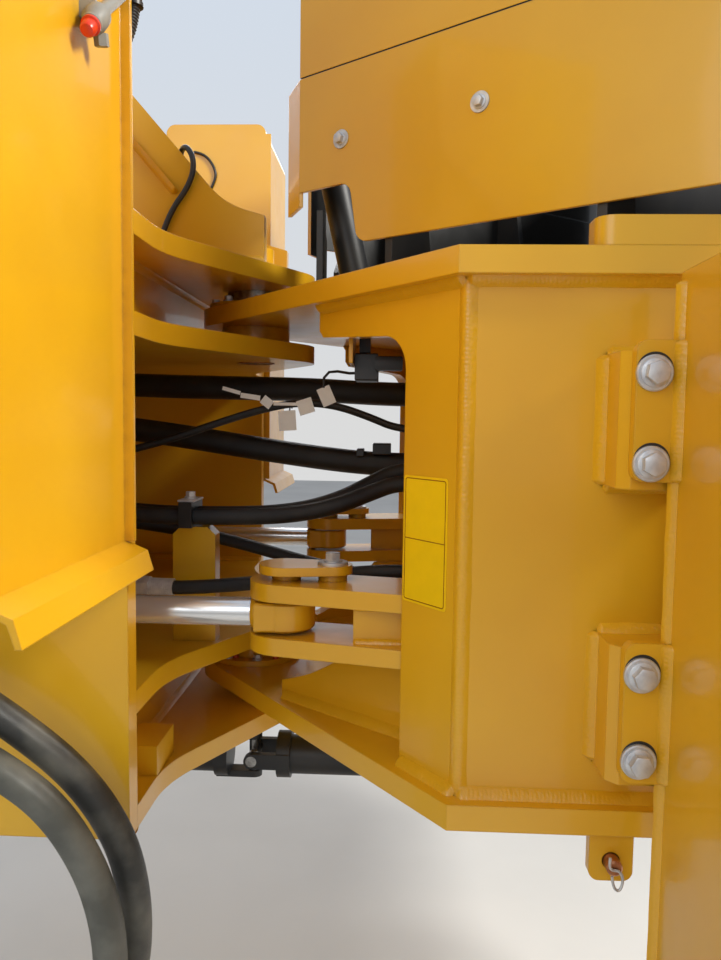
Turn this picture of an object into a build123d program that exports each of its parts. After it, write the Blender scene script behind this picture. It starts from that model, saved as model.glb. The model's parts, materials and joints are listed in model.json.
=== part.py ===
"""Centre hitch of an articulated wheel loader.

The rear end of the front frame and the front end of the rear frame, joined by an upper and a
lower hinge pin and turned by two steering cylinders. Everything is drawn about the hinge: x
runs to the rear of the machine, y to its right, z up from the underside of the rear frame's
bottom plate. At the end it is moved so that the origin lies on the rear mounting face.
"""
import os
from math import acos, atan2, cos, hypot, pi, radians, sin, tan

from build123d import *

# Rear frame
REAR_LENGTH = 950.0  # hinge axis to the rear mounting face
FRAME_HALF = 550.0  # half width of the top and bottom plates
PLATE = 30.0  # top and bottom plates
INNER_HEIGHT = 594.0  # between those plates
BEVEL_X = 318.0  # corner where the plates start to taper to the hinge
NOSE_RADIUS = 92.0
WALL = 25.0  # side walls and webs
WALL_INSET = 25.0  # plate edge to the outer face of a side wall
BEVEL_RUN = 106.0  # bevelled wall, from its bend to its front edge
ARM_RUN = 302.0  # the same to the end of the arm under the top plate
ARM_TIP = 34.0  # depth of the arm at its end
ARM_DEPTH = 44.0  # and just behind it
ARM_ROOT = 56.0  # and at the corner of the opening
ARM_RADIUS = 45.0
BULKHEAD = 30.0
BULKHEAD_OPENING = (280.0, 420.0, 290.0)  # width, height, distance of its middle from y = 0
OPENING_RADIUS = 40.0
CROSS_WALL_X = 345.0
CROSS_WALL = 20.0
CROSS_WALL_HOLE = (100.0, 200.0, 250.0)  # radius, y, z
WEB_START = (81.0, 214.0)  # front end of a lower web, x and distance from y = 0
WEB_ANGLE = 37.9  # lower web, degrees from the length of the machine
WEB_NOSE = 25.0  # height of the lower web at its front end
WEB_RISE_RUN = 165.0  # run over which it rises to the clevis

# Front frame
FRONT_LENGTH = 820.0
FORK_NOSE = 105.0
FORK_ANGLE = 61.0  # sloping edge of a fork plate, degrees from the length of the machine
FORK_EDGE_X = -68.0
FORK_FILLET = 200.0
FORK_PLATE = 30.0
FORK_HALF = 490.0  # outer faces of the side walls
FORK_WALL = 30.0
FRONT_BULKHEAD = 30.0
FRONT_OPENING = (360.0, 300.0)
BACK_WALL_X = -130.0  # cross walls in front of the rear frame's two tongues
BACK_WALL = 20.0
GAP_OVER = 32.0  # upper tongue to the fork plate above it
GAP_UNDER = 30.0  # each tongue to the fork plate below it
GAP_LOWER = 60.0  # lower tongue to the fork plate above it
HOSE_WALL_X = -400.0
HOSE_WALL_HALF = 240.0
HOSE_WALL = 20.0
TOWER_Y = 130.0
TOWER_WEB = 22.0
TOWER_END = (38.0, 73.0)  # x and height over the upper fork plate, from the rear forward
TOWER_KNEE = (-27.0, 92.0)
TOWER_SHOULDER = (-280.0, 380.0)
TOWER_KNEE_RADIUS = 120.0
TOWER_SHOULDER_RADIUS = 60.0
TOWER_CROSS_X = -420.0

# Hinge
PIN_RADIUS = 32.5
PIN_FIT = 0.05
COLLAR_RADIUS = 50.0
HOUSING_RADIUS = 60.0
FLANGE_RADIUS = 82.0
UPPER_HOUSING = (22.0, 10.0)  # reach below and above its tongue
LOWER_HOUSING = (10.0, 40.0)
FLANGE = 10.0
COVER = (31.5, 48.0)  # radius and height of the upper pin's cover
DISC = (36.0, 12.0)  # radius and thickness of the lower pin's disc
THRUST_GAP = 1.0

# Steering cylinders, their clevises and brackets
CLEVIS_PIN_X = 106.0
CLEVIS_PIN_INSET = 202.0  # edge of the rear frame's plates to the pin
BARREL_PIN_X = -716.0
BARREL_PIN_INSET = 138.0  # outer face of the front side wall to the foot pin
EAR_RADIUS = 50.0
EAR = 24.0
EAR_GAP = 48.0
LOWER_EAR_Z = 149.0
CLEVIS_BLOCK_X = 202.0
CLEVIS_BLOCK_INSET = 12.0
CLEVIS_INSET = 6.0  # outer face of the bevelled wall to the ears' outer corner
CLEVIS_DEPTH = 90.0
EYE_RADIUS = 40.0
EYE_HEIGHT = 40.0
EYE_PIN_RADIUS = 18.0
ROD_RADIUS = 20.0
ROD_LENGTH = 548.0
PISTON = 30.0
BARREL_RADIUS = 45.0
BARREL_BORE = 38.0
BARREL_LENGTH = 541.0
BARREL_BASE = 76.0  # foot pin to the bottom of the bore
BARREL_NECK = (20.0, 55.0)  # radius, and reach from the foot pin
BARREL_SHOULDER = 66.0
GLAND_RADIUS = 50.0
GLAND = 40.0
KEEPER_SPAN = 64.0
KEEPER_RADII = (38.0, 27.0)  # round the pin and round the bolt
KEEPER = 12.0
BOSS_RADIUS = 20.0
BOSS = 9.0

# Steering stops, hose post and clamp
STOP_CORNER = (-68.0, 378.0)
STOP_SIZE = (57.0, 81.0, 42.0)
POST_X = (-86.0, -20.0)
POST_Y = (-235.0, -205.0)
POST_TOP = 298.0
CLAMP_X = (-72.0, -52.0)
CLAMP_REACH = 13.0
CLAMP = 33.0
CLAMP_PLATE = 6.0

# Propeller shaft
SHAFT_Z = -160.0
SHAFT_RADIUS = 35.0
SHAFT_ENDS = (-760.0, 900.0)
SHAFT_FLANGE = (62.0, 14.0)  # radius and thickness
SHAFT_BOLTS = (48.0, 5.5, 4)  # radius of the bolt circle, radius of a hole, number
YOKE_REACH = 70.0
YOKE_HUB = 25.0
YOKE_ARM = (30.0, 42.0)
YOKE_HALF = 14.0
TRUNNION = 10.0
HANGER_X = (-520.0, 620.0)
HANGER = (60.0, 50.0)  # radius and length of a bearing hanger

# Fenders of the front frame
FENDER_INNER = 495.0
FENDER_OUTER = 825.0
FENDER_X = -67.0
FENDER_RUN = 240.0
FENDER_SHEET = 6.0
FENDER_TOP = 1165.0
FENDER_RADIUS = 22.0
FENDER_FOLD_Z = 317.0
FENDER_LIP = ((26.0, 11.0), (33.0, 35.0))  # out and down from the fold to its bend and its rim
FENDER_FLANGE = 12.0
FENDER_MOUNTS = ((-250.0, 420.0), (-250.0, 640.0), (-120.0, 640.0))
FENDER_MOUNT = 60.0

# Access ladder on the left
LADDER_X = 540.0
LADDER_LENGTH = 320.0
LADDER_STAND = 40.0  # edge of the rear frame's plates to the back of the ladder
LADDER_DEPTH = 300.0
LADDER_TOP = 618.0
LADDER_FOOT = -330.0
LADDER_SHEET = 10.0
LADDER_TIE = (40.0, 560.0)
EAR_PLATE = 15.0
EAR_REACH = 46.0
EAR_CORNER = 12.0
EAR_ROWS = ((405.0, 549.0), (88.0, 238.0))  # bottom and top of each row of ears
PAD_LENGTH = 90.0
PAD_LEAD = 9.0
STEP_HEIGHTS = (-300.0, -10.0, 280.0)
STEP_DEPTH = 230.0
STEP_SHEET = 6.0
STEP_LIP = 40.0

# Cab skirts, their brackets and the pads under the cab mounts
SKIRT_START = (101.0, 200.0)
SKIRT_ANGLE = 35.0
SKIRT_LENGTH = 860.0
SKIRT_SHEET = 5.0
SKIRT_BOTTOM = 720.0
SKIRT_NOTCH = ((97.0, 807.0), (112.0, 720.0))
SKIRT_SEAM = 973.0
SKIRT_JOINT = 2.0
SKIRT_TOP = 1150.0
SKIRT_FLANGE = (-25.0, 60.0)
SKIRT_FLANGE_BOTTOM = 786.0
BRACKET = 12.0
BRACKET_START = 165.0  # run of the skirt up to the first bracket
BRACKET_CLEARANCE = 20.0  # middle of the second bracket to the cab pad
BRACKET_FOOT = 110.0
BRACKET_HEAD = 35.0
BRACKET_TOP = 1100.0
CAB_PAD_X = (465.0, 700.0)
CAB_PAD = (60.0, 32.0)
CAB_BOLTS = (525.0, 640.0)
CAB_BOLT_RADIUS = 11.0
STRUT_FOOT = (193.0, 120.0)  # middle of a strut on the top plate: x, and distance from y = 0
STRUT_LEAN = 12.8  # degrees forward
STRUT_RADIUS = 24.0
STRUT_TOP = 960.0
STRUT_FLANGE = (36.0, 10.0)
LUG_X = (128.0, 138.0)
LUG_Y = (130.0, 200.0)
LUG_TOP = (750.0, 782.0)  # heights at its two ends
PANEL_INSET = 30.0  # rear end of the skirts to the cross panel
PANEL = 12.0
PANEL_CLEARANCE = 4.0
PANEL_FLANGE = 40.0

# Catch for the articulation lock, under the rear frame
CATCH_X = (482.0, 532.0)
CATCH_INSET = 10.0  # edge of the bottom plate to the catch
CATCH = 14.0
CATCH_DROP = 58.0
CATCH_HOLE = (34.0, 10.0)  # depth below the plate, and radius

# Heights that follow from these
Z_ROOF = PLATE + INNER_HEIGHT
Z_TOP = Z_ROOF + PLATE
UPPER_FORK_Z = Z_TOP + GAP_OVER
UNDER_FORK_Z = Z_ROOF - GAP_UNDER - FORK_PLATE
LOWER_FORK_Z = PLATE + GAP_LOWER
BOTTOM_FORK_Z = -GAP_UNDER - FORK_PLATE
FORK_TOP = UPPER_FORK_Z + FORK_PLATE
EYE_Z = LOWER_EAR_Z + EAR + EAR_GAP / 2
UPPER_EAR_Z = LOWER_EAR_Z + EAR + EAR_GAP
WALL_Y = FRAME_HALF - WALL_INSET
FORK_INNER = FORK_HALF - FORK_WALL
CLEVIS_PIN = (CLEVIS_PIN_X, FRAME_HALF - CLEVIS_PIN_INSET)
BARREL_PIN = (BARREL_PIN_X, FORK_HALF - BARREL_PIN_INSET)
LADDER_BACK = FRAME_HALF + LADDER_STAND
CATCH_Y = (CATCH_INSET - FRAME_HALF, CATCH_INSET + CATCH - FRAME_HALF)
SECOND_BRACKET_Y = FRAME_HALF - CAB_PAD[0] - BRACKET_CLEARANCE
BRACKET_PLACES = (BRACKET_START, (SECOND_BRACKET_Y - SKIRT_START[1]) / sin(radians(SKIRT_ANGLE)))
CENTRE = Pos(-REAR_LENGTH, 0, -Z_TOP / 2)

# Hose fittings: hexagon, ferrule, and how much wider than the hose each is
FITTING_NUT = 18.0
FITTING_FERRULE = 26.0
FITTING_OVER = (12.0, 6.0)
FITTING = FITTING_NUT + FITTING_FERRULE

# Hoses through the hitch: diameter, and points from the front hose wall to the rear cross wall
HITCH_HOSES = {
    "hose_main_upper": (44.0, [
        (-356, 60, 527), (-300, 60, 527), (-210, 56, 524), (-110, 50, 522), (-10, 48, 521),
        (90, 50, 520), (175, 54, 516), (245, 56, 513), (301, 56, 513)]),
    "hose_main_lower": (42.0, [
        (-356, -20, 450), (-300, -20, 450), (-210, -22, 442), (-110, -24, 429), (-10, -24, 414),
        (90, -22, 400), (175, -20, 390), (245, -20, 386), (301, -20, 386)]),
    "hose_clamped_near": (26.0, [
        (-356, -222, 333), (-300, -222, 333), (-220, -229, 325), (-140, -234, 314),
        (15, -234, 314), (100, -226, 318), (165, -208, 331), (215, -186, 350), (258, -170, 366),
        (301, -170, 366)]),
    "hose_clamped_far": (26.0, [
        (-356, -182, 333), (-300, -182, 333), (-220, -195, 325), (-140, -206, 314),
        (15, -206, 314), (100, -197, 320), (165, -175, 337), (215, -149, 362), (258, -130, 384),
        (301, -130, 384)]),
    "hose_harness": (12.0, [
        (-356, -150, 391), (-310, -150, 391), (-250, -150, 398), (-180, -150, 410),
        (-110, -150, 430), (-40, -150, 455), (30, -151, 478), (95, -153, 492), (155, -154, 488),
        (210, -153, 470), (258, -151, 450), (301, -151, 450)]),
    "hose_cross": (21.0, [
        (-356, -120, 299), (-310, -120, 299), (-240, -118, 293), (-160, -112, 283),
        (-85, -104, 270), (-10, -96, 252), (60, -90, 232), (130, -88, 214), (195, -90, 202),
        (250, -92, 196), (301, -92, 196)]),
    "hose_port": (21.0, [
        (-356, -226, 226), (-310, -226, 226), (-262, -236, 224), (-205, -250, 221),
        (-140, -260, 219), (-70, -264, 219), (0, -264, 221), (75, -262, 225), (145, -258, 231),
        (205, -252, 236), (253, -248, 238), (301, -248, 238)]),
}

# Hoses that hang outside the left side wall, from its port block to the lowest fork plate
HANGING_HOSES = {
    "hose_hanging_outer": (38.0, [
        (-404, -600, 222), (-334, -600, 222), (-258, -588, 186), (-176, -564, 117),
        (-106, -548, 49), (-60, -540, -29), (-45, -536, -107), (-49, -528, -188),
        (-72, -512, -262), (-113, -492, -318), (-171, -466, -349), (-238, -438, -352),
        (-306, -412, -334), (-363, -394, -294), (-405, -381, -238), (-431, -376, -170),
        (-431, -376, -104)]),
    "hose_hanging_inner": (38.0, [
        (-404, -600, 160), (-340, -600, 160), (-258, -602, 127), (-176, -598, 79),
        (-121, -592, 35), (-81, -588, -31), (-62, -584, -98), (-59, -578, -170),
        (-80, -564, -245), (-122, -544, -305), (-182, -520, -338), (-254, -494, -346),
        (-326, -468, -336), (-396, -450, -303), (-450, -440, -245), (-481, -436, -172),
        (-481, -436, -104)]),
}
PORT_BLOCK_X = (-500.0, -448.0)
PORT_BLOCK_Z = (125.0, 257.0)
PORT_BLOCK_REACH = 140.0


def span(z0, z1, face):
    """A flat outline given a thickness between two heights."""
    return Pos(0, 0, z0) * extrude(face, z1 - z0)


def block(x, y, z):
    """A block between pairs of limits along x, y and z."""
    size = [abs(b - a) for a, b in (x, y, z)]
    middle = [(a + b) / 2 for a, b in (x, y, z)]
    return Pos(*middle) * Box(*size)


def rod(radius, z0, z1, x=0.0, y=0.0):
    """An upright round bar between two heights."""
    return Pos(x, y, (z0 + z1) / 2) * Cylinder(radius, z1 - z0)


def outline(*points):
    return make_face(Polyline(*points, close=True))


def corners(shape, *points):
    """The corners of an outline that lie nearest to the given points."""
    return [min(shape.vertices(), key=lambda v: hypot(v.X - x, v.Y - y)) for x, y in points]


def other_side(shape):
    return mirror(shape, about=Plane.XZ)


# Rear frame

def frame_outline():
    """Plan of the top and bottom plates: a box that tapers to the round nose of a tongue."""
    tail = [(BEVEL_X, -FRAME_HALF), (REAR_LENGTH, -FRAME_HALF),
            (REAR_LENGTH, FRAME_HALF), (BEVEL_X, FRAME_HALF)]
    edges = [*Circle(NOSE_RADIUS).edges(), *Polyline(*tail, close=True).edges()]
    return make_hull(edges)


def bevel_direction():
    """Angle of the tapering edge on the left, from the corner forward to the nose."""
    reach = hypot(BEVEL_X, FRAME_HALF)
    tangent = atan2(-FRAME_HALF, BEVEL_X) - acos(NOSE_RADIUS / reach)
    touch = (NOSE_RADIUS * cos(tangent), NOSE_RADIUS * sin(tangent))
    return atan2(touch[1] + FRAME_HALF, touch[0] - BEVEL_X)


BEVEL = bevel_direction()
BEVEL_TURN = pi - BEVEL
BEND_X = BEVEL_X + WALL_INSET * tan(BEVEL_TURN / 2)


def bend_plane():
    """Upright plane of the left bevelled wall's outer face: forward from the bend, and up."""
    along = (cos(BEVEL), sin(BEVEL), 0)
    return Plane(origin=(BEND_X, -WALL_Y, 0), x_dir=along, z_dir=(sin(BEVEL), -cos(BEVEL), 0))


def frame_plate(z0):
    return span(z0, z0 + PLATE, frame_outline() - Circle(HOUSING_RADIUS))


def rear_wall():
    """Left side wall: a straight run, a bend, and a bevelled end with an arm under the roof."""
    mitre = WALL * tan(BEVEL_TURN / 2)
    straight = outline((REAR_LENGTH - BULKHEAD, -WALL_Y), (BEND_X, -WALL_Y),
                       (BEND_X + mitre, -WALL_Y + WALL), (REAR_LENGTH - BULKHEAD, -WALL_Y + WALL))
    profile = outline(
        (0, PLATE), (BEVEL_RUN, PLATE), (BEVEL_RUN, Z_ROOF - ARM_ROOT),
        (ARM_RUN - ARM_DEPTH + ARM_TIP, Z_ROOF - ARM_DEPTH), (ARM_RUN, Z_ROOF - ARM_TIP),
        (ARM_RUN, Z_ROOF), (0, Z_ROOF))
    profile = fillet(corners(profile, (BEVEL_RUN, Z_ROOF - ARM_ROOT)), ARM_RADIUS)
    bevel = extrude(bend_plane() * profile, WALL)
    wedge = span(PLATE, Z_ROOF, outline(
        (BEND_X, -WALL_Y), (BEND_X + mitre, -WALL_Y + WALL),
        (BEND_X + WALL * sin(BEVEL_TURN), -WALL_Y + WALL * cos(BEVEL_TURN))))
    return span(PLATE, Z_ROOF, straight) + bevel + wedge


def lower_web():
    """Left web on the bottom plate: it rises in a hollow curve to carry the clevis."""
    turn = radians(WEB_ANGLE)
    run = (CROSS_WALL_X - WEB_START[0]) / cos(turn) + WALL
    rise = ThreePointArc(
        (0, PLATE + WEB_NOSE),
        (WEB_RISE_RUN * 0.55, PLATE + WEB_NOSE + (LOWER_EAR_Z - PLATE - WEB_NOSE) * 0.42),
        (WEB_RISE_RUN, LOWER_EAR_Z))
    top = Polyline((WEB_RISE_RUN, LOWER_EAR_Z), (run, LOWER_EAR_Z), (run, PLATE), (0, PLATE),
                   (0, PLATE + WEB_NOSE))
    face = make_face([rise, *top.edges()])
    plane = Plane(origin=(WEB_START[0], -WEB_START[1], 0), x_dir=(cos(turn), -sin(turn), 0),
                  z_dir=(-sin(turn), -cos(turn), 0))
    limit = block((0, CROSS_WALL_X), (-FRAME_HALF, 0), (0, Z_ROOF))
    return extrude(plane * face, -WALL) & limit


def cross_wall():
    radius, y, z = CROSS_WALL_HOLE
    wall = block((CROSS_WALL_X, CROSS_WALL_X + CROSS_WALL), (WALL - WALL_Y, WALL_Y - WALL),
                 (PLATE, Z_ROOF))
    return wall - Pos(CROSS_WALL_X, y, z) * Rot(0, 90, 0) * Cylinder(radius, 4 * CROSS_WALL)


def rear_bulkhead():
    width, height, middle = BULKHEAD_OPENING
    wall = block((REAR_LENGTH - BULKHEAD, REAR_LENGTH), (-WALL_Y, WALL_Y), (PLATE, Z_ROOF))
    for side in (-1, 1):
        hole = extrude(Plane.YZ * RectangleRounded(width, height, OPENING_RADIUS), REAR_LENGTH * 2)
        wall -= Pos(0, side * middle, Z_TOP / 2) * hole
    return wall


def clevis():
    """Left steering clevis: two ears and the block between them, welded to wall and web."""
    x, y = CLEVIS_PIN
    front = (BEND_X + BEVEL_RUN * cos(BEVEL) + CLEVIS_INSET * sin(BEVEL),
             BEVEL_RUN * sin(BEVEL) - CLEVIS_INSET * cos(BEVEL) - WALL_Y)
    rear_corners = [(CROSS_WALL_X, front[1]), (CROSS_WALL_X, front[1] + CLEVIS_DEPTH)]
    around = (Pos(x, -y) * Circle(EAR_RADIUS)).edges()
    plan = make_hull([*around, *Polyline(front, *rear_corners, close=True).edges()])
    solid = span(LOWER_EAR_Z, LOWER_EAR_Z + EAR, plan) + span(UPPER_EAR_Z, UPPER_EAR_Z + EAR, plan)
    solid -= rod(EYE_PIN_RADIUS, 0, Z_ROOF, x, -y)
    reach = hypot(front[0] - x, front[1] + y)
    rim = (front[1] + y + EAR_RADIUS) / reach
    near = -y - EAR_RADIUS + (CLEVIS_BLOCK_X - x) * rim + CLEVIS_BLOCK_INSET
    filler = block((CLEVIS_BLOCK_X, CROSS_WALL_X), (near, front[1] + CLEVIS_DEPTH),
                   (LOWER_EAR_Z + EAR, UPPER_EAR_Z))
    return solid + filler - rear_wall()


def clevis_pins():
    """Left clevis pin as it shows: lower stub, upper stub, two bosses, and the keeper plate."""
    x, y = CLEVIS_PIN
    low = rod(EYE_PIN_RADIUS, LOWER_EAR_Z - BOSS, LOWER_EAR_Z + EAR, x, -y)
    top = UPPER_EAR_Z + EAR
    high = rod(EYE_PIN_RADIUS, UPPER_EAR_Z, top, x, -y)
    bosses = rod(BOSS_RADIUS, top, top + BOSS, x, -y)
    bosses += rod(BOSS_RADIUS, top, top + BOSS, x + KEEPER_SPAN, -y)
    ends = [Circle(KEEPER_RADII[0]), Pos(KEEPER_SPAN, 0) * Circle(KEEPER_RADII[1])]
    plate = span(top + BOSS, top + BOSS + KEEPER, make_hull([end.edge() for end in ends]))
    return Compound([low, high + bosses + Pos(x, -y, 0) * plate])


def bearing_housing(z0, reach):
    """Bearing housing in a tongue: a sleeve through the plate and a bolted flange on top."""
    below, above = reach
    top = z0 + PLATE
    sleeve = rod(HOUSING_RADIUS, z0 - below, top + above)
    flange = rod(FLANGE_RADIUS, top, top + FLANGE)
    return sleeve + flange - rod(PIN_RADIUS + PIN_FIT, z0 - PLATE * 4, top + PLATE * 4)


def cab_pads():
    depth, height = CAB_PAD
    pad = block(CAB_PAD_X, (-FRAME_HALF, -FRAME_HALF + depth), (Z_TOP, Z_TOP + height))
    pad = fillet(pad.edges().filter_by(Axis.Z), OPENING_RADIUS / 2)
    for x in CAB_BOLTS:
        pad -= rod(CAB_BOLT_RADIUS, Z_TOP, Z_TOP + height, x, depth / 2 - FRAME_HALF)
    return Compound([pad, other_side(pad)])


# Front frame

def fork_plate(z0):
    """Plan of a fork plate: full width between the side walls, then a wedge with a round nose."""
    turn = radians(FORK_ANGLE)
    shoulder = (FORK_NOSE - FORK_EDGE_X * sin(turn)) / cos(turn)
    ends = [(FORK_EDGE_X, -shoulder), (FORK_EDGE_X, shoulder)]
    wedge = make_hull([*Circle(FORK_NOSE).edges(), *Polyline(*ends).edges()])
    length = FRONT_LENGTH - FRONT_BULKHEAD + FORK_EDGE_X
    plan = wedge + Pos(FORK_EDGE_X - length / 2, 0) * Rectangle(length, 2 * FORK_INNER)
    plan = fillet(corners(plan, *ends), FORK_FILLET)
    return span(z0, z0 + FORK_PLATE, plan - Circle(PIN_RADIUS))


def hinge_pin(z_low, z_high, tongue, reach, covered):
    """Hinge pin with its thrust collars against the housing, and its cover or disc."""
    below, above = reach
    pin = rod(PIN_RADIUS, z_low, z_high + FORK_PLATE)
    pin += rod(COLLAR_RADIUS, z_low + FORK_PLATE, tongue - below - THRUST_GAP)
    pin += rod(COLLAR_RADIUS, tongue + PLATE + above + THRUST_GAP, z_high)
    if covered:
        radius, height = COVER
        return pin + rod(radius, z_high + FORK_PLATE, z_high + FORK_PLATE + height)
    radius, thickness = DISC
    return pin + rod(radius, z_low - thickness, z_low)


def back_wall(z0, z1):
    return block((BACK_WALL_X - BACK_WALL, BACK_WALL_X), (-FORK_INNER, FORK_INNER), (z0, z1))


def front_side_wall():
    wall = block((FRONT_BULKHEAD - FRONT_LENGTH, FORK_EDGE_X), (-FORK_HALF, -FORK_INNER),
                 (BOTTOM_FORK_Z, FORK_TOP))
    rear = wall.edges().filter_by(Axis.Y).group_by(Axis.X)[-1]
    return fillet(rear.sort_by(Axis.Z)[-1], OPENING_RADIUS)


def front_bulkhead():
    width, height = FRONT_OPENING
    wall = block((-FRONT_LENGTH, FRONT_BULKHEAD - FRONT_LENGTH), (-FORK_HALF, FORK_HALF),
                 (BOTTOM_FORK_Z, FORK_TOP))
    hole = extrude(Plane.YZ * RectangleRounded(width, height, OPENING_RADIUS), FRONT_LENGTH, both=True)
    return wall - Pos(-FRONT_LENGTH, 0, Z_TOP / 2) * hole


def tower_web():
    """Left web of the arm tower: its top edge sweeps down to the hinge in a hollow curve."""
    front = FRONT_BULKHEAD - FRONT_LENGTH
    points = [(front, 0), (TOWER_END[0], 0), TOWER_END, TOWER_KNEE, TOWER_SHOULDER,
              (front, TOWER_SHOULDER[1])]
    face = outline(*[(x, z + FORK_TOP) for x, z in points])
    face = fillet(corners(face, (TOWER_KNEE[0], TOWER_KNEE[1] + FORK_TOP)), TOWER_KNEE_RADIUS)
    shoulder = (TOWER_SHOULDER[0], TOWER_SHOULDER[1] + FORK_TOP)
    face = fillet(corners(face, shoulder), TOWER_SHOULDER_RADIUS)
    return Pos(0, -TOWER_Y + TOWER_WEB / 2, 0) * extrude(Plane.XZ * face, TOWER_WEB)


def arm_tower():
    """The two webs of the arm tower with the plate that crosses between them."""
    half = TOWER_Y - TOWER_WEB / 2
    cross = block((TOWER_CROSS_X - TOWER_WEB, TOWER_CROSS_X), (-half, half),
                  (FORK_TOP, FORK_TOP + TOWER_SHOULDER[1]))
    return tower_web() + cross + other_side(tower_web())


def steering_stop():
    length, depth, height = STOP_SIZE
    x, y = STOP_CORNER
    z0 = BOTTOM_FORK_Z + FORK_PLATE
    stop = block((x - length, x), (-y, depth - y), (z0, z0 + height))
    return chamfer(stop.edges().filter_by(Axis.Z).group_by(Axis.X)[0], EAR_CORNER)


def hose_post():
    z0 = LOWER_FORK_Z + FORK_PLATE
    post = block(POST_X, POST_Y, (z0, POST_TOP))
    return chamfer(post.edges().filter_by(Axis.Y).group_by(Axis.Z)[-1], EAR_CORNER)


def hose_clamp():
    """Split clamp on the post, bored for the two hoses that it holds, with its steel top."""
    holes = [HITCH_HOSES[name] for name in ("hose_clamped_near", "hose_clamped_far")]
    radius = holes[0][0] / 2
    sides = [points[3][1] for _, points in holes]
    height = holes[0][1][3][2]
    y = (min(sides) - radius - CLAMP_REACH / 2, max(sides) + radius + CLAMP_REACH / 2)
    clamp = block(CLAMP_X, y, (POST_TOP, POST_TOP + CLAMP))
    for side in sides:
        clamp -= Pos(CLAMP_X[0], side, height) * Rot(0, 90, 0) * Cylinder(radius, CLAMP * 4)
    return clamp + block(CLAMP_X, y, (POST_TOP + CLAMP, POST_TOP + CLAMP + CLAMP_PLATE))


def barrel_bracket():
    """Left bracket on the front bulkhead that holds the foot of a steering cylinder."""
    x, y = BARREL_PIN
    root = FRONT_BULKHEAD - FRONT_LENGTH
    around = (Pos(x, -y) * Circle(EAR_RADIUS)).edges()
    plan = make_hull([*around, *Polyline((root, -y - EAR_RADIUS), (root, EAR_RADIUS - y)).edges()])
    bracket = span(LOWER_EAR_Z, LOWER_EAR_Z + EAR, plan) + span(UPPER_EAR_Z, UPPER_EAR_Z + EAR, plan)
    return bracket + rod(EYE_PIN_RADIUS, LOWER_EAR_Z - BOSS, UPPER_EAR_Z + EAR + BOSS, x, -y)


def fender():
    """Left fender: a rear sheet that rolls over the wheel, its lip, and a side plate on pads."""
    bend, rim = [(FENDER_X + across, FENDER_FOLD_Z - down) for across, down in FENDER_LIP]
    front = FENDER_X - FENDER_RUN
    roll = front + FENDER_RADIUS
    sheet = FENDER_SHEET
    outer = [rim, bend, (FENDER_X, FENDER_FOLD_Z), (FENDER_X, FENDER_TOP), (roll, FENDER_TOP)]
    inner = [(roll, FENDER_TOP - sheet), (FENDER_X - sheet, FENDER_TOP - sheet),
             (FENDER_X - sheet, FENDER_FOLD_Z - sheet / 2),
             (bend[0] - 0.9 * sheet, bend[1] - 0.7 * sheet), (rim[0] - sheet, rim[1])]
    profile = outline(*outer, *inner)
    profile = fillet(corners(profile, outer[3]), FENDER_RADIUS)
    profile = fillet(corners(profile, inner[1]), FENDER_RADIUS - sheet)
    skin = Pos(0, -FENDER_INNER, 0) * extrude(Plane.XZ * profile, FENDER_OUTER - FENDER_INNER)
    side = block((front, FENDER_X), (-FENDER_INNER - sheet, -FENDER_INNER),
                 (FENDER_FOLD_Z, FENDER_TOP))
    side = fillet(side.edges().filter_by(Axis.Y).group_by(Axis.Z)[-1], FENDER_RADIUS)
    flange = block((FENDER_X, FENDER_X + FENDER_FLANGE), (-FENDER_INNER - sheet, -FENDER_INNER),
                   (FENDER_FOLD_Z, FENDER_TOP - FENDER_RADIUS))
    shell = skin + side + flange
    half = FENDER_MOUNT / 2
    for x, z in FENDER_MOUNTS:
        shell += block((x - half, x + half), (-FENDER_INNER, -FORK_HALF), (z - half, z + half))
    return shell


# Steering cylinders

def cylinder_line():
    """Plane at the left barrel's foot: x towards the clevis pin, z across, y up."""
    dx = CLEVIS_PIN[0] - BARREL_PIN[0]
    dy = BARREL_PIN[1] - CLEVIS_PIN[1]
    return Plane(origin=(BARREL_PIN[0], -BARREL_PIN[1], EYE_Z), x_dir=(dx, dy, 0), z_dir=(0, 0, 1))


def turned(*points):
    """A solid of revolution about a cylinder's own line, from its half section."""
    return revolve(Plane.XY * outline(*points), Axis.X)


def barrel():
    neck, reach = BARREL_NECK
    eye = Cylinder(BARREL_RADIUS, EYE_HEIGHT)
    tube = turned(
        (EYE_PIN_RADIUS, 0), (EYE_PIN_RADIUS, neck), (reach, neck), (BARREL_SHOULDER, BARREL_RADIUS),
        (BARREL_LENGTH - GLAND, BARREL_RADIUS), (BARREL_LENGTH - GLAND, GLAND_RADIUS),
        (BARREL_LENGTH, GLAND_RADIUS), (BARREL_LENGTH, ROD_RADIUS + PIN_FIT),
        (BARREL_LENGTH - GLAND, ROD_RADIUS + PIN_FIT), (BARREL_LENGTH - GLAND, BARREL_BORE),
        (BARREL_BASE, BARREL_BORE), (BARREL_BASE, 0))
    limit = Pos(BARREL_LENGTH / 2, 0, 0) * Box(BARREL_LENGTH, 4 * GLAND_RADIUS, 4 * GLAND_RADIUS)
    solid = eye + (tube & limit) - Cylinder(EYE_PIN_RADIUS + PIN_FIT, 4 * EYE_HEIGHT)
    return cylinder_line() * solid


def cylinder_length():
    return hypot(CLEVIS_PIN[0] - BARREL_PIN[0], CLEVIS_PIN[1] - BARREL_PIN[1])


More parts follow.
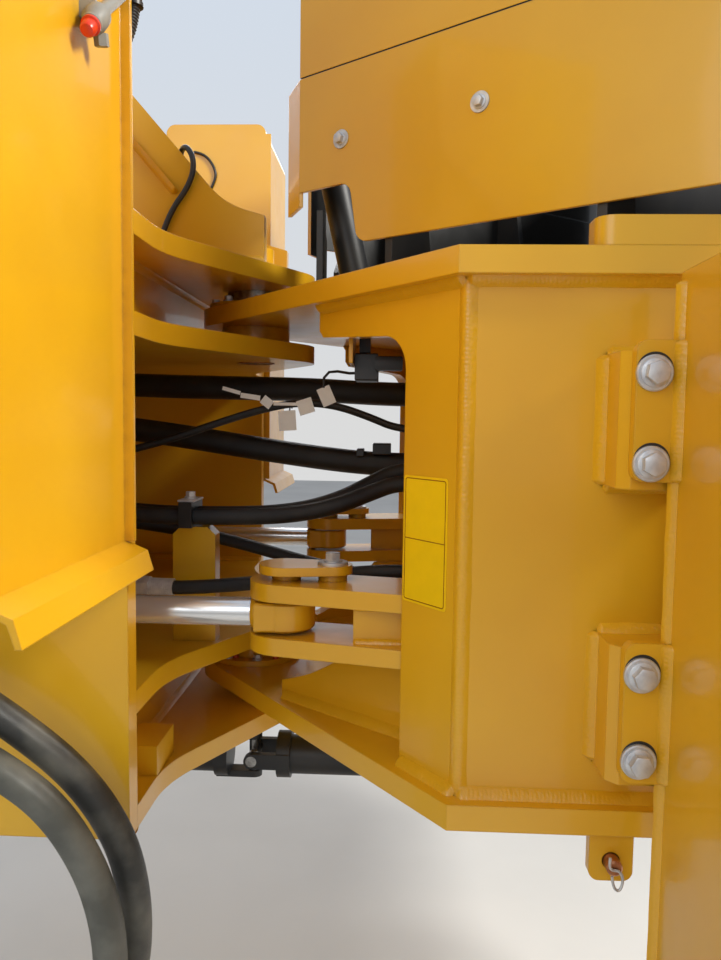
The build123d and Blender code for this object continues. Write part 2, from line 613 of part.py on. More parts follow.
def piston_rod():
    """Left rod with its piston and its eye, which holds the middle of the clevis pin."""
    reach = cylinder_length()
    tail = reach - ROD_LENGTH
    bar = turned((tail, 0), (tail, BARREL_BORE - PIN_FIT), (tail + PISTON, BARREL_BORE - PIN_FIT),
                 (tail + PISTON, ROD_RADIUS), (reach - EYE_PIN_RADIUS, ROD_RADIUS),
                 (reach - EYE_PIN_RADIUS, 0))
    eye = Pos(reach, 0, 0) * Cylinder(EYE_RADIUS, EYE_HEIGHT)
    return cylinder_line() * (bar + eye)


# Propeller shaft

def shaft(end, arms_upright):
    """Half of the propeller shaft, with the yoke that it ends in under the hinge."""
    way = 1 if end > 0 else -1
    near = way * YOKE_REACH
    tube = Pos((near + end) / 2, 0, 0) * Rot(0, 90, 0) * Cylinder(SHAFT_RADIUS, abs(end - near))
    hub_end = way * (YOKE_REACH - YOKE_HUB)
    hub = Pos((near + hub_end) / 2, 0, 0) * Rot(0, 90, 0) * Cylinder(YOKE_ARM[1], YOKE_HUB)
    arm = block((0, near), YOKE_ARM, (-YOKE_HALF, YOKE_HALF))
    arm += Pos(0, sum(YOKE_ARM) / 2, 0) * Rot(90, 0, 0) * Cylinder(
        YOKE_HALF, YOKE_ARM[1] - YOKE_ARM[0])
    arm -= Rot(90, 0, 0) * Cylinder(TRUNNION + PIN_FIT, 4 * YOKE_ARM[1])
    arms = arm + other_side(arm)
    if arms_upright:
        arms = Rot(90, 0, 0) * arms
    circle, hole, count = SHAFT_BOLTS
    flange = Cylinder(*SHAFT_FLANGE)
    flange -= PolarLocations(circle, count) * Cylinder(hole, 2 * SHAFT_FLANGE[1])
    flange = Pos(end - way * SHAFT_FLANGE[1] / 2, 0, 0) * Rot(0, 90, 0) * flange
    return Pos(0, 0, SHAFT_Z) * (tube + hub + arms + flange)


def joint_cross():
    """Cross of the universal joint, on the line of the hinge pins."""
    bar = Cylinder(TRUNNION, 2 * YOKE_ARM[1])
    return Pos(0, 0, SHAFT_Z) * (bar + Rot(90, 0, 0) * bar)


def hanger(x, z_top):
    """Centre bearing of the propeller shaft, hung under a plate."""
    radius, length = HANGER
    ring = Pos(x, 0, SHAFT_Z) * Rot(0, 90, 0) * Cylinder(radius, length)
    leg = block((x - length / 2, x + length / 2), (-radius, radius), (SHAFT_Z, z_top))
    bore = Pos(x, 0, SHAFT_Z) * Rot(0, 90, 0) * Cylinder(SHAFT_RADIUS, 4 * length)
    return ring + leg - bore


# Ladder

def ladder_pads():
    """Pads welded to the left side wall, which the ears bolt to."""
    pads = []
    lead = EAR_REACH + PAD_LEAD
    for z0, z1 in EAR_ROWS:
        for x in (LADDER_X - lead, LADDER_X + LADDER_LENGTH + lead - PAD_LENGTH):
            pad = block((x, x + PAD_LENGTH), (-LADDER_BACK, -WALL_Y), (z0 - PAD_LEAD, z1 - PAD_LEAD))
            pads.append(chamfer(pad.edges().filter_by(Axis.Z).group_by(Axis.Y)[0], EAR_CORNER))
    return Compound(pads)


def ladder_side(x, ear_x):
    """A side plate of the ladder with its two ear plates."""
    side = block((x, x + LADDER_SHEET), (-LADDER_BACK - LADDER_DEPTH, -LADDER_BACK),
                 (LADDER_FOOT, LADDER_TOP))
    side = fillet(side.edges().filter_by(Axis.X).group_by(Axis.Y)[0], OPENING_RADIUS)
    for z0, z1 in EAR_ROWS:
        ear = block((ear_x, ear_x + EAR_REACH), (-LADDER_BACK - EAR_PLATE, -LADDER_BACK), (z0, z1))
        rim = ear.edges().filter_by(Axis.Y).group_by(Axis.X)[0 if ear_x < x else -1]
        side += fillet(rim, EAR_CORNER)
    return side


def ladder_steps():
    """Folded treads between the two side plates."""
    inner = (LADDER_X + LADDER_SHEET, LADDER_X + LADDER_LENGTH - LADDER_SHEET)
    near = -LADDER_BACK - LADDER_DEPTH
    steps = []
    for z in STEP_HEIGHTS:
        tread = block(inner, (near, near + STEP_DEPTH), (z, z + STEP_LIP))
        hollow = block(inner, (near + STEP_SHEET, near + STEP_DEPTH - STEP_SHEET),
                       (z, z + STEP_LIP - STEP_SHEET))
        steps.append(tread - hollow)
    return Compound(steps)


def ladder_frame():
    """The two side plates, joined at the back by a tie plate."""
    low, high = LADDER_TIE
    rear_x = LADDER_X + LADDER_LENGTH
    front = ladder_side(LADDER_X, LADDER_X - EAR_REACH)
    rear = ladder_side(rear_x - LADDER_SHEET, rear_x)
    tie = block((LADDER_X, rear_x), (-LADDER_BACK - LADDER_SHEET, -LADDER_BACK), (low, high))
    return front + tie + rear


# Cab skirts

def skirt_plane():
    turn = radians(SKIRT_ANGLE)
    return Plane(origin=(SKIRT_START[0], -SKIRT_START[1], 0), x_dir=(cos(turn), -sin(turn), 0),
                 z_dir=(-sin(turn), -cos(turn), 0))


def skirt():
    """Left skirt under the cab: a notched panel with a flange bent back at its front end."""
    (x1, z1), (x2, z2) = SKIRT_NOTCH
    face = outline((0, z1), (x1, z1), (x2, z2), (SKIRT_LENGTH, SKIRT_BOTTOM),
                   (SKIRT_LENGTH, SKIRT_SEAM), (0, SKIRT_SEAM))
    face = fillet(corners(face, (x1, z1), (x2, z2)), OPENING_RADIUS / 2)
    panel = extrude(skirt_plane() * face, -SKIRT_SHEET)
    x, y = SKIRT_START
    dx, dy = SKIRT_FLANGE
    turn = radians(SKIRT_ANGLE)
    back = (x + SKIRT_SHEET / cos(turn), -y)
    flange = outline((x, -y), (x + dx, dy - y), (back[0] + dx, dy - y), back)
    return panel + span(SKIRT_FLANGE_BOTTOM, SKIRT_SEAM, flange)


def upper_skirt():
    face = outline((0, SKIRT_SEAM + SKIRT_JOINT), (SKIRT_LENGTH, SKIRT_SEAM + SKIRT_JOINT),
                   (SKIRT_LENGTH, SKIRT_TOP), (0, SKIRT_TOP))
    return extrude(skirt_plane() * face, -SKIRT_SHEET)


def skirt_brackets():
    """Gusset plates on the roof of the rear frame that carry the skirts, and a lug beside them."""
    turn = radians(SKIRT_ANGLE)
    back = SKIRT_SHEET
    face = outline((back, Z_TOP), (back + BRACKET_FOOT, Z_TOP), (back + BRACKET_HEAD, BRACKET_TOP),
                   (back, BRACKET_TOP))
    plates = []
    for run in BRACKET_PLACES:
        x = SKIRT_START[0] + run * cos(turn)
        y = -SKIRT_START[1] - run * sin(turn)
        plane = Plane(origin=(x, y, 0), x_dir=(sin(turn), cos(turn), 0), z_dir=(cos(turn), -sin(turn), 0))
        plates.append(extrude(plane * face, BRACKET / 2, both=True))
    plates.append(cab_lug())
    return Compound([*plates, *[other_side(plate) for plate in plates]])


def cab_strut():
    """Left strut between the roof of the rear frame and the cab."""
    x, y = STRUT_FOOT
    bar = Pos(x, -y, Z_TOP) * Rot(0, -STRUT_LEAN, 0) * Cylinder(STRUT_RADIUS, 3 * BRACKET_TOP)
    limit = block((-REAR_LENGTH, REAR_LENGTH), (-FRAME_HALF, 0), (Z_TOP, STRUT_TOP))
    radius, thickness = STRUT_FLANGE
    return (bar & limit) + rod(radius, Z_TOP, Z_TOP + thickness, x, -y)


def cab_lug():
    """Left lug on the roof of the rear frame, beside the strut."""
    inner, outer = LUG_Y
    low, high = LUG_TOP
    face = outline((-inner, Z_TOP), (-outer, Z_TOP), (-outer, high), (-inner, low))
    return Pos(LUG_X[0], 0, 0) * extrude(Plane.YZ * face, LUG_X[1] - LUG_X[0])


def cross_panel():
    """Panel that closes the space between the skirts, near their rear ends."""
    turn = radians(SKIRT_ANGLE)
    x = SKIRT_START[0] + SKIRT_LENGTH * cos(turn) - PANEL_INSET
    half = SKIRT_START[1] + (x - PANEL_FLANGE - SKIRT_START[0]) * tan(turn)
    half -= SKIRT_SHEET / cos(turn) + PANEL_CLEARANCE
    panel = block((x, x + PANEL), (-half, half), (Z_TOP, BRACKET_TOP))
    flange = block((x - PANEL_FLANGE, x), (-half, half), (BRACKET_TOP - PANEL, BRACKET_TOP))
    return panel + flange


def lock_catch():
    """Catch plate for the bar that locks the articulation, hung under the bottom plate."""
    plate = block(CATCH_X, CATCH_Y, (-CATCH_DROP, 0))
    plate = fillet(plate.edges().filter_by(Axis.Y).group_by(Axis.Z)[0], EAR_CORNER)
    hole = Pos(sum(CATCH_X) / 2, CATCH_Y[0], -CATCH_HOLE[0]) * Rot(90, 0, 0)
    return plate - hole * Cylinder(CATCH_HOLE[1], 4 * EAR_PLATE)


# Hoses

def hose(name, diameter, points):
    """A hose along straight runs joined by tangent arcs, each as wide as its runs allow."""
    spots = [Vector(*point) for point in points]
    runs = [(b - a).length for a, b in zip(spots, spots[1:])]
    radii = []
    for i in range(1, len(spots) - 1):
        turn = radians((spots[i] - spots[i - 1]).get_angle(spots[i + 1] - spots[i]))
        radii.append(0.45 * min(runs[i - 1], runs[i]) / tan(turn / 2))
    path = FilletPolyline(*spots, radius=radii)
    section = Plane(origin=path @ 0, z_dir=path % 0) * Circle(diameter / 2)
    tube = sweep(section, path=path)
    share = tube.volume / (pi * diameter ** 2 / 4 * path.length)
    print(f"{name}: length {path.length:.0f}, volume share {share:.4f}, radii",
          [round(radius) for radius in radii])
    return tube


def fitting(diameter, end, way):
    """Hose fitting from the wall to the end of a hose: a hexagon and a crimped ferrule."""
    nut = extrude(RegularPolygon((diameter + FITTING_OVER[0]) / 2, 6), FITTING_NUT)
    ferrule = Cylinder((diameter + FITTING_OVER[1]) / 2, FITTING_FERRULE)
    solid = nut + Pos(0, 0, FITTING_NUT + FITTING_FERRULE / 2) * ferrule
    foot = Vector(*end) - Vector(*way) * FITTING
    return Plane(origin=foot, z_dir=way) * solid


def fittings(hoses, index, way):
    """Fittings at one end of each hose in a table, pointing one way."""
    return [fitting(diameter, points[index], way) for diameter, points in hoses.values()]


def port_block():
    """Block on the left side wall that the hanging hoses come out of."""
    return block(PORT_BLOCK_X, (-FORK_HALF - PORT_BLOCK_REACH, -FORK_HALF), PORT_BLOCK_Z)


def both_sides(name, left):
    return {f"{name}_left": left, f"{name}_right": other_side(left)}


def pair(left):
    return Compound([left, other_side(left)])


UPPER = (UNDER_FORK_Z, UPPER_FORK_Z, Z_ROOF, UPPER_HOUSING, True)
LOWER = (BOTTOM_FORK_Z, LOWER_FORK_Z, 0.0, LOWER_HOUSING, False)

parts = {
    "rear_top_plate": frame_plate(Z_ROOF),
    "rear_bottom_plate": frame_plate(0.0),
    **both_sides("rear_wall", rear_wall()),
    "lower_webs": pair(lower_web()),
    "rear_cross_wall": cross_wall(),
    "rear_bulkhead": rear_bulkhead(),
    "steering_clevises": pair(clevis()),
    "clevis_keepers": pair(clevis_pins()),
    "bearing_housings": Compound([bearing_housing(Z_ROOF, UPPER_HOUSING),
                                  bearing_housing(0.0, LOWER_HOUSING)]),
    "cab_mount_pads": cab_pads(),
    "lock_catch": lock_catch(),
    "fork_plate_over": fork_plate(UPPER_FORK_Z),
    "fork_plate_under": fork_plate(UNDER_FORK_Z),
    "fork_plate_lower": fork_plate(LOWER_FORK_Z),
    "fork_plate_bottom": fork_plate(BOTTOM_FORK_Z),
    "fork_back_walls": Compound([back_wall(UNDER_FORK_Z + FORK_PLATE, UPPER_FORK_Z),
                                 back_wall(BOTTOM_FORK_Z + FORK_PLATE, LOWER_FORK_Z)]),
    **both_sides("front_side_wall", front_side_wall()),
    "front_bulkhead": front_bulkhead(),
    "hose_wall": block((HOSE_WALL_X - HOSE_WALL, HOSE_WALL_X), (-HOSE_WALL_HALF, HOSE_WALL_HALF),
                       (LOWER_FORK_Z + FORK_PLATE, UNDER_FORK_Z)),
    "arm_tower": arm_tower(),
    "hinge_pins": Compound([hinge_pin(*UPPER), hinge_pin(*LOWER)]),
    "steering_stops": pair(steering_stop()),
    "hose_post": hose_post() + hose_clamp(),
    "barrel_brackets": pair(barrel_bracket()),
    **both_sides("fender", fender()),
    **both_sides("cylinder_barrel", barrel()),
    **both_sides("cylinder_rod", piston_rod()),
    "shaft_rear": shaft(SHAFT_ENDS[1], False),
    "shaft_front": shaft(SHAFT_ENDS[0], True),
    "shaft_joint_cross": joint_cross(),
    "shaft_hanger_rear": hanger(HANGER_X[1], 0.0),
    "shaft_hanger_front": hanger(HANGER_X[0], BOTTOM_FORK_Z),
    "ladder_pads": ladder_pads(),
    "ladder_frame": ladder_frame(),
    "ladder_steps": ladder_steps(),
    "cab_skirts": pair(skirt()),
    "cab_upper_skirts": pair(upper_skirt()),
    "skirt_brackets": skirt_brackets(),
    "cab_struts": pair(cab_strut()),
    "cab_cross_panel": cross_panel(),
    "hose_fittings_front": Compound(fittings(HITCH_HOSES, 0, (1, 0, 0))),
    "hose_fittings_rear": Compound(fittings(HITCH_HOSES, -1, (-1, 0, 0))),
    "port_block": port_block(),
    "hanging_hose_fittings": Compound([*fittings(HANGING_HOSES, 0, (1, 0, 0)),
                                       *fittings(HANGING_HOSES, -1, (0, 0, -1))]),
    **{name: hose(name, *facts) for name, facts in HITCH_HOSES.items()},
    **{name: hose(name, *facts) for name, facts in HANGING_HOSES.items()},
}

os.makedirs("parts", exist_ok=True)
for name, shape in parts.items():
    export_step(CENTRE * shape, f"parts/{name}.step")
print(len(parts), "nodes")
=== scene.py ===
"""Looks of a wheel loader's centre hitch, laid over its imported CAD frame.

Places are in metres about the hinge: x to the rear of the machine, y to its right, z up from
the underside of the rear frame's bottom plate. at() moves such a place into the frame.
"""
import json
from math import cos, hypot, pi, radians, sin, tan

import bmesh
import bpy
from mathutils import Matrix, Vector, noise


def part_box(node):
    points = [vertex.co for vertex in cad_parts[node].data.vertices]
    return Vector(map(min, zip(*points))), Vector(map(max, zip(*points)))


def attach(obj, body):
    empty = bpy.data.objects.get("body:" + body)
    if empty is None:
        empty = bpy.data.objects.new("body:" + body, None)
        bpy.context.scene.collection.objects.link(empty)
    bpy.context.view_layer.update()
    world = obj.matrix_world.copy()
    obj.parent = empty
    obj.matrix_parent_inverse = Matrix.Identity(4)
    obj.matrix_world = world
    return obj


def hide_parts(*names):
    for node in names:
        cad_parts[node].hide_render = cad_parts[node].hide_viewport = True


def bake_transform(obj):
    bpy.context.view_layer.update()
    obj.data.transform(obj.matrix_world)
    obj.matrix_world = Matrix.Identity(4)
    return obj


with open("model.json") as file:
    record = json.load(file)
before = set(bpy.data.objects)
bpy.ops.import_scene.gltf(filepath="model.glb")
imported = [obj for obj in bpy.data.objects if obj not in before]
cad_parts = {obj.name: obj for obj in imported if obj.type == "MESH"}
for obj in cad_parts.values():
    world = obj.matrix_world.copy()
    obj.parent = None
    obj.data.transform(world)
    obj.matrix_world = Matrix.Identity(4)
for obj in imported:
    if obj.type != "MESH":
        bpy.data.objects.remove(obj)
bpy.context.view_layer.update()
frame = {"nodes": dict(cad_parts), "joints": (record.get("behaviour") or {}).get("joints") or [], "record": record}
HINGE = Vector((frame["joints"][0]["pos_m"][0], 0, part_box("rear_bottom_plate")[0].z))
SIDES = {"left": -1, "right": 1}
X, Y, Z = Vector((1, 0, 0)), Vector((0, 1, 0)), Vector((0, 0, 1))

# Camera
CAMERA_PLACE = (0.2518, -1.4031, 0.4641)
CAMERA_YAW = radians(2.46)
CAMERA_PITCH = radians(4.40)
CAMERA_ROLL = radians(0.78)
LENS = 29.09
SENSOR = 36.0

# Rear frame, as in the part
PLATE = 0.030
ROOF = 0.624
REAR = 0.950
WALL_Y = 0.525
WALL = 0.025
BEND_X = 0.3301
BEVEL = radians(128.43)
BEVEL_RUN = 0.106
ARM_RUN = 0.302
CROSS_WALL_X = 0.345
WEB_START = (0.081, 0.214)
WEB_ANGLE = radians(37.9)
BEARING_TOPS = (0.664, 0.040)
CLEVIS_PIN = (0.106, 0.348)
EARS = ((0.149, 0.173), (0.221, 0.245))
EAR_STEP = 0.007
BLOCK_X = (0.202, 0.310)
BLOCK_Y = 0.4067
KEEPER = (0.064, 0.266)
LADDER_X = (0.540, 0.860)
LADDER_Z = (-0.330, 0.618)
LADDER_EDGE_Y = 0.598
EAR_FACE_Y = 0.605
EAR_ROWS = ((0.405, 0.549), (0.088, 0.238))
PAD_X = ((0.485, 0.575), (0.825, 0.915))
PAD_DROP = 0.009
SKIRT_START = (0.101, 0.200)
SKIRT_ANGLE = radians(35)
SKIRT_LENGTH = 0.858
SEAM_Z = (0.9732, 0.9748)
CATCH_HOLE = (0.507, -0.034)

# Front frame, as in the part
FORK_LEVELS = (-0.060, 0.090, 0.564, 0.686)
FORK_PLATE = 0.030
FORK_INNER = 0.460
FORK_EDGE_X = -0.068
FRONT = -0.790
BACK_WALL_X = -0.130
TOWER_Y = (0.119, 0.141)
TOWER_END = 0.038
COVER_TOP = 0.764
DISC_BOTTOM = -0.072
PIN_RADIUS = 0.0325
CLAMP_X = (-0.072, -0.052)
CLAMP_Y = (-0.248, -0.192)
CLAMP_Z = (0.298, 0.337)
FENDER_X = -0.067

# Steering, as in the part: the rod's eye, and the barrel from its foot
EYE_Z = 0.197
EYE = (0.040, 0.040)
FOOT_OFF = (0.822, 0.004)
BARREL = 0.541

# Hoses: diameter, length from fitting to fitting, and the route's points
HITCH_HOSES = {
    "hose_main_upper": (0.044, 0.658, [
        (-0.356, 0.060, 0.527), (-0.300, 0.060, 0.527), (-0.210, 0.056, 0.524),
        (-0.110, 0.050, 0.522), (-0.010, 0.048, 0.521), (0.090, 0.050, 0.520),
        (0.175, 0.054, 0.516), (0.245, 0.056, 0.513), (0.301, 0.056, 0.513)]),
    "hose_main_lower": (0.042, 0.661, [
        (-0.356, -0.020, 0.450), (-0.300, -0.020, 0.450), (-0.210, -0.022, 0.442),
        (-0.110, -0.024, 0.429), (-0.010, -0.024, 0.414), (0.090, -0.022, 0.400),
        (0.175, -0.020, 0.390), (0.245, -0.020, 0.386), (0.301, -0.020, 0.386)]),
    "hose_clamped_near": (0.026, 0.675, [
        (-0.356, -0.222, 0.333), (-0.300, -0.222, 0.333), (-0.220, -0.229, 0.325),
        (-0.140, -0.234, 0.314), (0.015, -0.234, 0.314), (0.100, -0.226, 0.318),
        (0.165, -0.208, 0.331), (0.215, -0.186, 0.350), (0.258, -0.170, 0.366),
        (0.301, -0.170, 0.366)]),
    "hose_clamped_far": (0.026, 0.685, [
        (-0.356, -0.182, 0.333), (-0.300, -0.182, 0.333), (-0.220, -0.195, 0.325),
        (-0.140, -0.206, 0.314), (0.015, -0.206, 0.314), (0.100, -0.197, 0.320),
        (0.165, -0.175, 0.337), (0.215, -0.149, 0.362), (0.258, -0.130, 0.384),
        (0.301, -0.130, 0.384)]),
    "hose_harness": (0.012, 0.676, [
        (-0.356, -0.150, 0.391), (-0.310, -0.150, 0.391), (-0.250, -0.150, 0.398),
        (-0.180, -0.150, 0.410), (-0.110, -0.150, 0.430), (-0.040, -0.150, 0.455),
        (0.030, -0.151, 0.478), (0.095, -0.153, 0.492), (0.155, -0.154, 0.488),
        (0.210, -0.153, 0.470), (0.258, -0.151, 0.450), (0.301, -0.151, 0.450)]),
    "hose_cross": (0.021, 0.669, [
        (-0.356, -0.120, 0.299), (-0.310, -0.120, 0.299), (-0.240, -0.118, 0.293),
        (-0.160, -0.112, 0.283), (-0.085, -0.104, 0.270), (-0.010, -0.096, 0.252),
        (0.060, -0.090, 0.232), (0.130, -0.088, 0.214), (0.195, -0.090, 0.202),
        (0.250, -0.092, 0.196), (0.301, -0.092, 0.196)]),
    "hose_port": (0.021, 0.662, [
        (-0.356, -0.226, 0.226), (-0.310, -0.226, 0.226), (-0.262, -0.236, 0.220),
        (-0.205, -0.250, 0.212), (-0.140, -0.260, 0.208), (-0.070, -0.264, 0.209),
        (0.000, -0.264, 0.214), (0.075, -0.262, 0.222), (0.145, -0.258, 0.230),
        (0.205, -0.252, 0.236), (0.253, -0.248, 0.238), (0.301, -0.248, 0.238)]),
}
HANGING_HOSES = {
    "hose_hanging_outer": (0.038, 1.258, [
        (-0.404, -0.600, 0.222), (-0.334, -0.600, 0.222), (-0.258, -0.588, 0.186),
        (-0.176, -0.564, 0.117), (-0.106, -0.548, 0.049), (-0.060, -0.540, -0.029),
        (-0.045, -0.536, -0.107), (-0.049, -0.528, -0.188), (-0.072, -0.512, -0.262),
        (-0.113, -0.492, -0.318), (-0.171, -0.466, -0.349), (-0.238, -0.438, -0.352),
        (-0.306, -0.412, -0.334), (-0.363, -0.394, -0.294), (-0.405, -0.381, -0.238),
        (-0.431, -0.376, -0.170), (-0.431, -0.376, -0.104)]),
    "hose_hanging_inner": (0.038, 1.217, [
        (-0.404, -0.600, 0.160), (-0.340, -0.600, 0.160), (-0.258, -0.602, 0.127),
        (-0.176, -0.598, 0.079), (-0.121, -0.592, 0.035), (-0.081, -0.588, -0.031),
        (-0.062, -0.584, -0.098), (-0.059, -0.578, -0.170), (-0.080, -0.564, -0.245),
        (-0.122, -0.544, -0.305), (-0.182, -0.520, -0.338), (-0.254, -0.494, -0.346),
        (-0.326, -0.468, -0.336), (-0.396, -0.450, -0.303), (-0.450, -0.440, -0.245),
        (-0.481, -0.436, -0.172), (-0.481, -0.436, -0.104)]),
}


def at(x, y, z):
    """A place about the hinge, in the frame."""
    return HINGE + Vector((x, y, z))


def placed(origin, up, ahead=None):
    """Matrix at a place in the frame whose z axis points up and whose x axis lies ahead."""
    up = Vector(up).normalized()
    ahead = Vector(ahead) if ahead else (X if abs(up.x) < 0.9 else Y)
    ahead = (ahead - up * ahead.dot(up)).normalized()
    turn = Matrix((ahead, up.cross(ahead), up)).transposed().to_4x4()
    return Matrix.Translation(origin) @ turn


# Materials

def add(tree, kind, **values):
    """A shader node with some of its settings and inputs given by name."""
    made = tree.nodes.new("ShaderNode" + kind)
    for name, value in values.items():
        if hasattr(made, name):
            setattr(made, name, value)
        else:
            made.inputs[name.replace("_", " ")].default_value = value
    return made


def new_look(name, colour, roughness, **sockets):
    """A material, its node tree and its main shader."""
    look = bpy.data.materials.new(name)
    look.use_nodes = True
    shader = look.node_tree.nodes["Principled BSDF"]
    shader.inputs["Base Color"].default_value = (*colour, 1)
    shader.inputs["Roughness"].default_value = roughness
    for socket, value in sockets.items():
        shader.inputs[socket.replace("_", " ")].default_value = value
    return look, look.node_tree, shader


def spread(tree, factor, low, high, start=0.35, end=0.65):
    """A mix of two colours by a factor, over part of its range."""
    ramp = add(tree, "ValToRGB")
    ramp.color_ramp.elements[0].position = start
    ramp.color_ramp.elements[1].position = end
    ramp.color_ramp.elements[0].color = (*low, 1)
    ramp.color_ramp.elements[1].color = (*high, 1)
    tree.links.new(factor, ramp.inputs[0])
    return ramp.outputs[0]


def remapped(tree, factor, low, high):
    """A factor from 0 to 1, stretched to other limits."""
    made = add(tree, "MapRange", To_Min=low, To_Max=high)
    tree.links.new(factor, made.inputs["Value"])
    return made.outputs[0]


def noise_on(tree, scale, detail, where=None):
    """Noise over the object's own coordinates, or over other ones."""
    made = add(tree, "TexNoise", Scale=scale, Detail=detail)
    if where is None:
        where = add(tree, "TexCoord").outputs["Object"]
    tree.links.new(where, made.inputs["Vector"])
    return made.outputs["Fac"]


def bumped(tree, height, strength, distance, normal=None):
    made = add(tree, "Bump", Strength=strength, Distance=distance)
    tree.links.new(height, made.inputs["Height"])
    if normal is not None:
        tree.links.new(normal, made.inputs["Normal"])
    return made.outputs[0]


def rounded(tree, radius):
    """A normal that rounds the edges off."""
    return add(tree, "Bevel", samples=3, Radius=radius).outputs[0]


def cavity(tree, reach):
    """A factor that is 1 in the open and lower in corners."""
    return add(tree, "AmbientOcclusion", samples=4, Distance=reach).outputs["AO"]


def paint_look(name, bright, deep, dirt_and_shade, inner_shade=False, grain=(420, 0.10, 0.0004)):
    """Glossy machine paint: rounded edges, orange peel, wavy plate, and dust with painted shade in the corners.

    Faces that look to the rear can be made black as painted shade, as inside the skirts. A coarse
    grain shows in the clear coat too.
    """
    look, tree, shader = new_look(name, bright, 0.33, Coat_Weight=0.40, Coat_Roughness=0.09)
    blotch = spread(tree, noise_on(tree, 3.5, 4.0), deep, bright)
    # Dust and painted shade: darker where ambient occlusion finds corners, broken up by noise.
    grime_and_shade = add(tree, "Mix", data_type="RGBA")
    corner = add(tree, "Math", operation="MULTIPLY")
    dark = spread(tree, cavity(tree, 0.022), (1, 1, 1), (0, 0, 0), 0.25, 0.80)
    tree.links.new(dark, corner.inputs[0])
    tree.links.new(remapped(tree, noise_on(tree, 60, 5.0), -0.15, 1.0), corner.inputs[1])
    tree.links.new(corner.outputs[0], grime_and_shade.inputs["Factor"])
    tree.links.new(blotch, grime_and_shade.inputs["A"])
    grime_and_shade.inputs["B"].default_value = (*dirt_and_shade, 1)
    colour = grime_and_shade.outputs["Result"]
    # Painted shade: faces that look to the rear are made black.
    if inner_shade:
        split = add(tree, "SeparateXYZ")
        tree.links.new(add(tree, "NewGeometry").outputs["True Normal"], split.inputs[0])
        inside = add(tree, "Math", operation="GREATER_THAN")
        inside.inputs[1].default_value = 0.3
        tree.links.new(split.outputs["X"], inside.inputs[0])
        both = add(tree, "Mix", data_type="RGBA")
        tree.links.new(inside.outputs[0], both.inputs["Factor"])
        tree.links.new(colour, both.inputs["A"])
        both.inputs["B"].default_value = (*INNER_SHADE_BLACK, 1)
        colour = both.outputs["Result"]
    tree.links.new(colour, shader.inputs["Base Color"])
    tree.links.new(remapped(tree, noise_on(tree, 25, 3.0), 0.24, 0.42), shader.inputs["Roughness"])
    wavy = bumped(tree, noise_on(tree, 7, 1.0), 0.25, 0.004, rounded(tree, 0.0022))
    scale, strength, depth = grain
    peel = bumped(tree, noise_on(tree, scale, 1.0), strength, depth, wavy)
    tree.links.new(peel, shader.inputs["Normal"])
    tree.links.new(wavy if depth < 0.001 else peel, shader.inputs["Coat Normal"])
    return look


def dark_look():
    """Satin black paint with dust on it."""
    look, tree, shader = new_look("satin_black_paint", (0.016, 0.016, 0.017), 0.45)
    dust = spread(tree, noise_on(tree, 9, 6.0), (0.012, 0.012, 0.013), (0.045, 0.042, 0.036),
                  0.4, 0.9)
    tree.links.new(dust, shader.inputs["Base Color"])
    tree.links.new(bumped(tree, noise_on(tree, 300, 2.0), 0.15, 0.0004, rounded(tree, 0.002)),
                   shader.inputs["Normal"])
    return look


def metal_look(name, low, high, roughness, grain, metallic):
    """Plated or bare metal, uneven in tone and gloss."""
    look, tree, shader = new_look(name, high, roughness, Metallic=metallic)
    tree.links.new(spread(tree, noise_on(tree, 90, 5.0), low, high), shader.inputs["Base Color"])
    rough = remapped(tree, noise_on(tree, 160, 3.0), roughness * 0.7, roughness * 1.4)
    tree.links.new(rough, shader.inputs["Roughness"])
    tree.links.new(bumped(tree, noise_on(tree, grain, 2.0), 0.12, 0.0003, rounded(tree, 0.0006)),
                   shader.inputs["Normal"])
    return look


def chrome_look():
    """Polished hard chrome with faint marks along the stroke."""
    look, tree, shader = new_look("hard_chrome", (0.82, 0.83, 0.84), 0.12, Metallic=0.68)
    streak = noise_on(tree, 6.0, 3.0, add(tree, "TexCoord").outputs["UV"])
    tree.links.new(remapped(tree, streak, 0.12, 0.24), shader.inputs["Roughness"])
    return look


def rubber_look(name, low, high, roughness):
    """Hose cover with the imprint of its wrapping, and dust."""
    look, tree, shader = new_look(name, low, roughness, Specular_IOR_Level=0.45)
    tree.links.new(spread(tree, noise_on(tree, 14, 5.0), low, high, 0.40, 0.80),
                   shader.inputs["Base Color"])
    where = add(tree, "TexCoord").outputs["UV"]
    turn = add(tree, "Mapping", Rotation=(0, 0, radians(40)))
    tree.links.new(where, turn.inputs[0])
    weave = add(tree, "TexWave", Scale=90.0, Distortion=0.6, Detail=1.0)
    tree.links.new(turn.outputs[0], weave.inputs["Vector"])
    cloth = bumped(tree, weave.outputs["Fac"], 0.30, 0.0004)
    tree.links.new(bumped(tree, noise_on(tree, 500, 2.0), 0.2, 0.0003, cloth),
                   shader.inputs["Normal"])
    tree.links.new(remapped(tree, noise_on(tree, 30, 3.0), roughness * 0.8, roughness * 1.25),
                   shader.inputs["Roughness"])
    return look


def plain_look(name, colour, roughness, fade=0.82, **sockets):
    """A small moulded or printed piece, slightly uneven in tone and surface."""
    look, tree, shader = new_look(name, colour, roughness, **sockets)
    low = tuple(value * fade for value in colour)
    tree.links.new(spread(tree, noise_on(tree, 40, 4.0), low, colour), shader.inputs["Base Color"])
    tree.links.new(bumped(tree, noise_on(tree, 200, 2.0), 0.12, 0.0003), shader.inputs["Normal"])
    return look


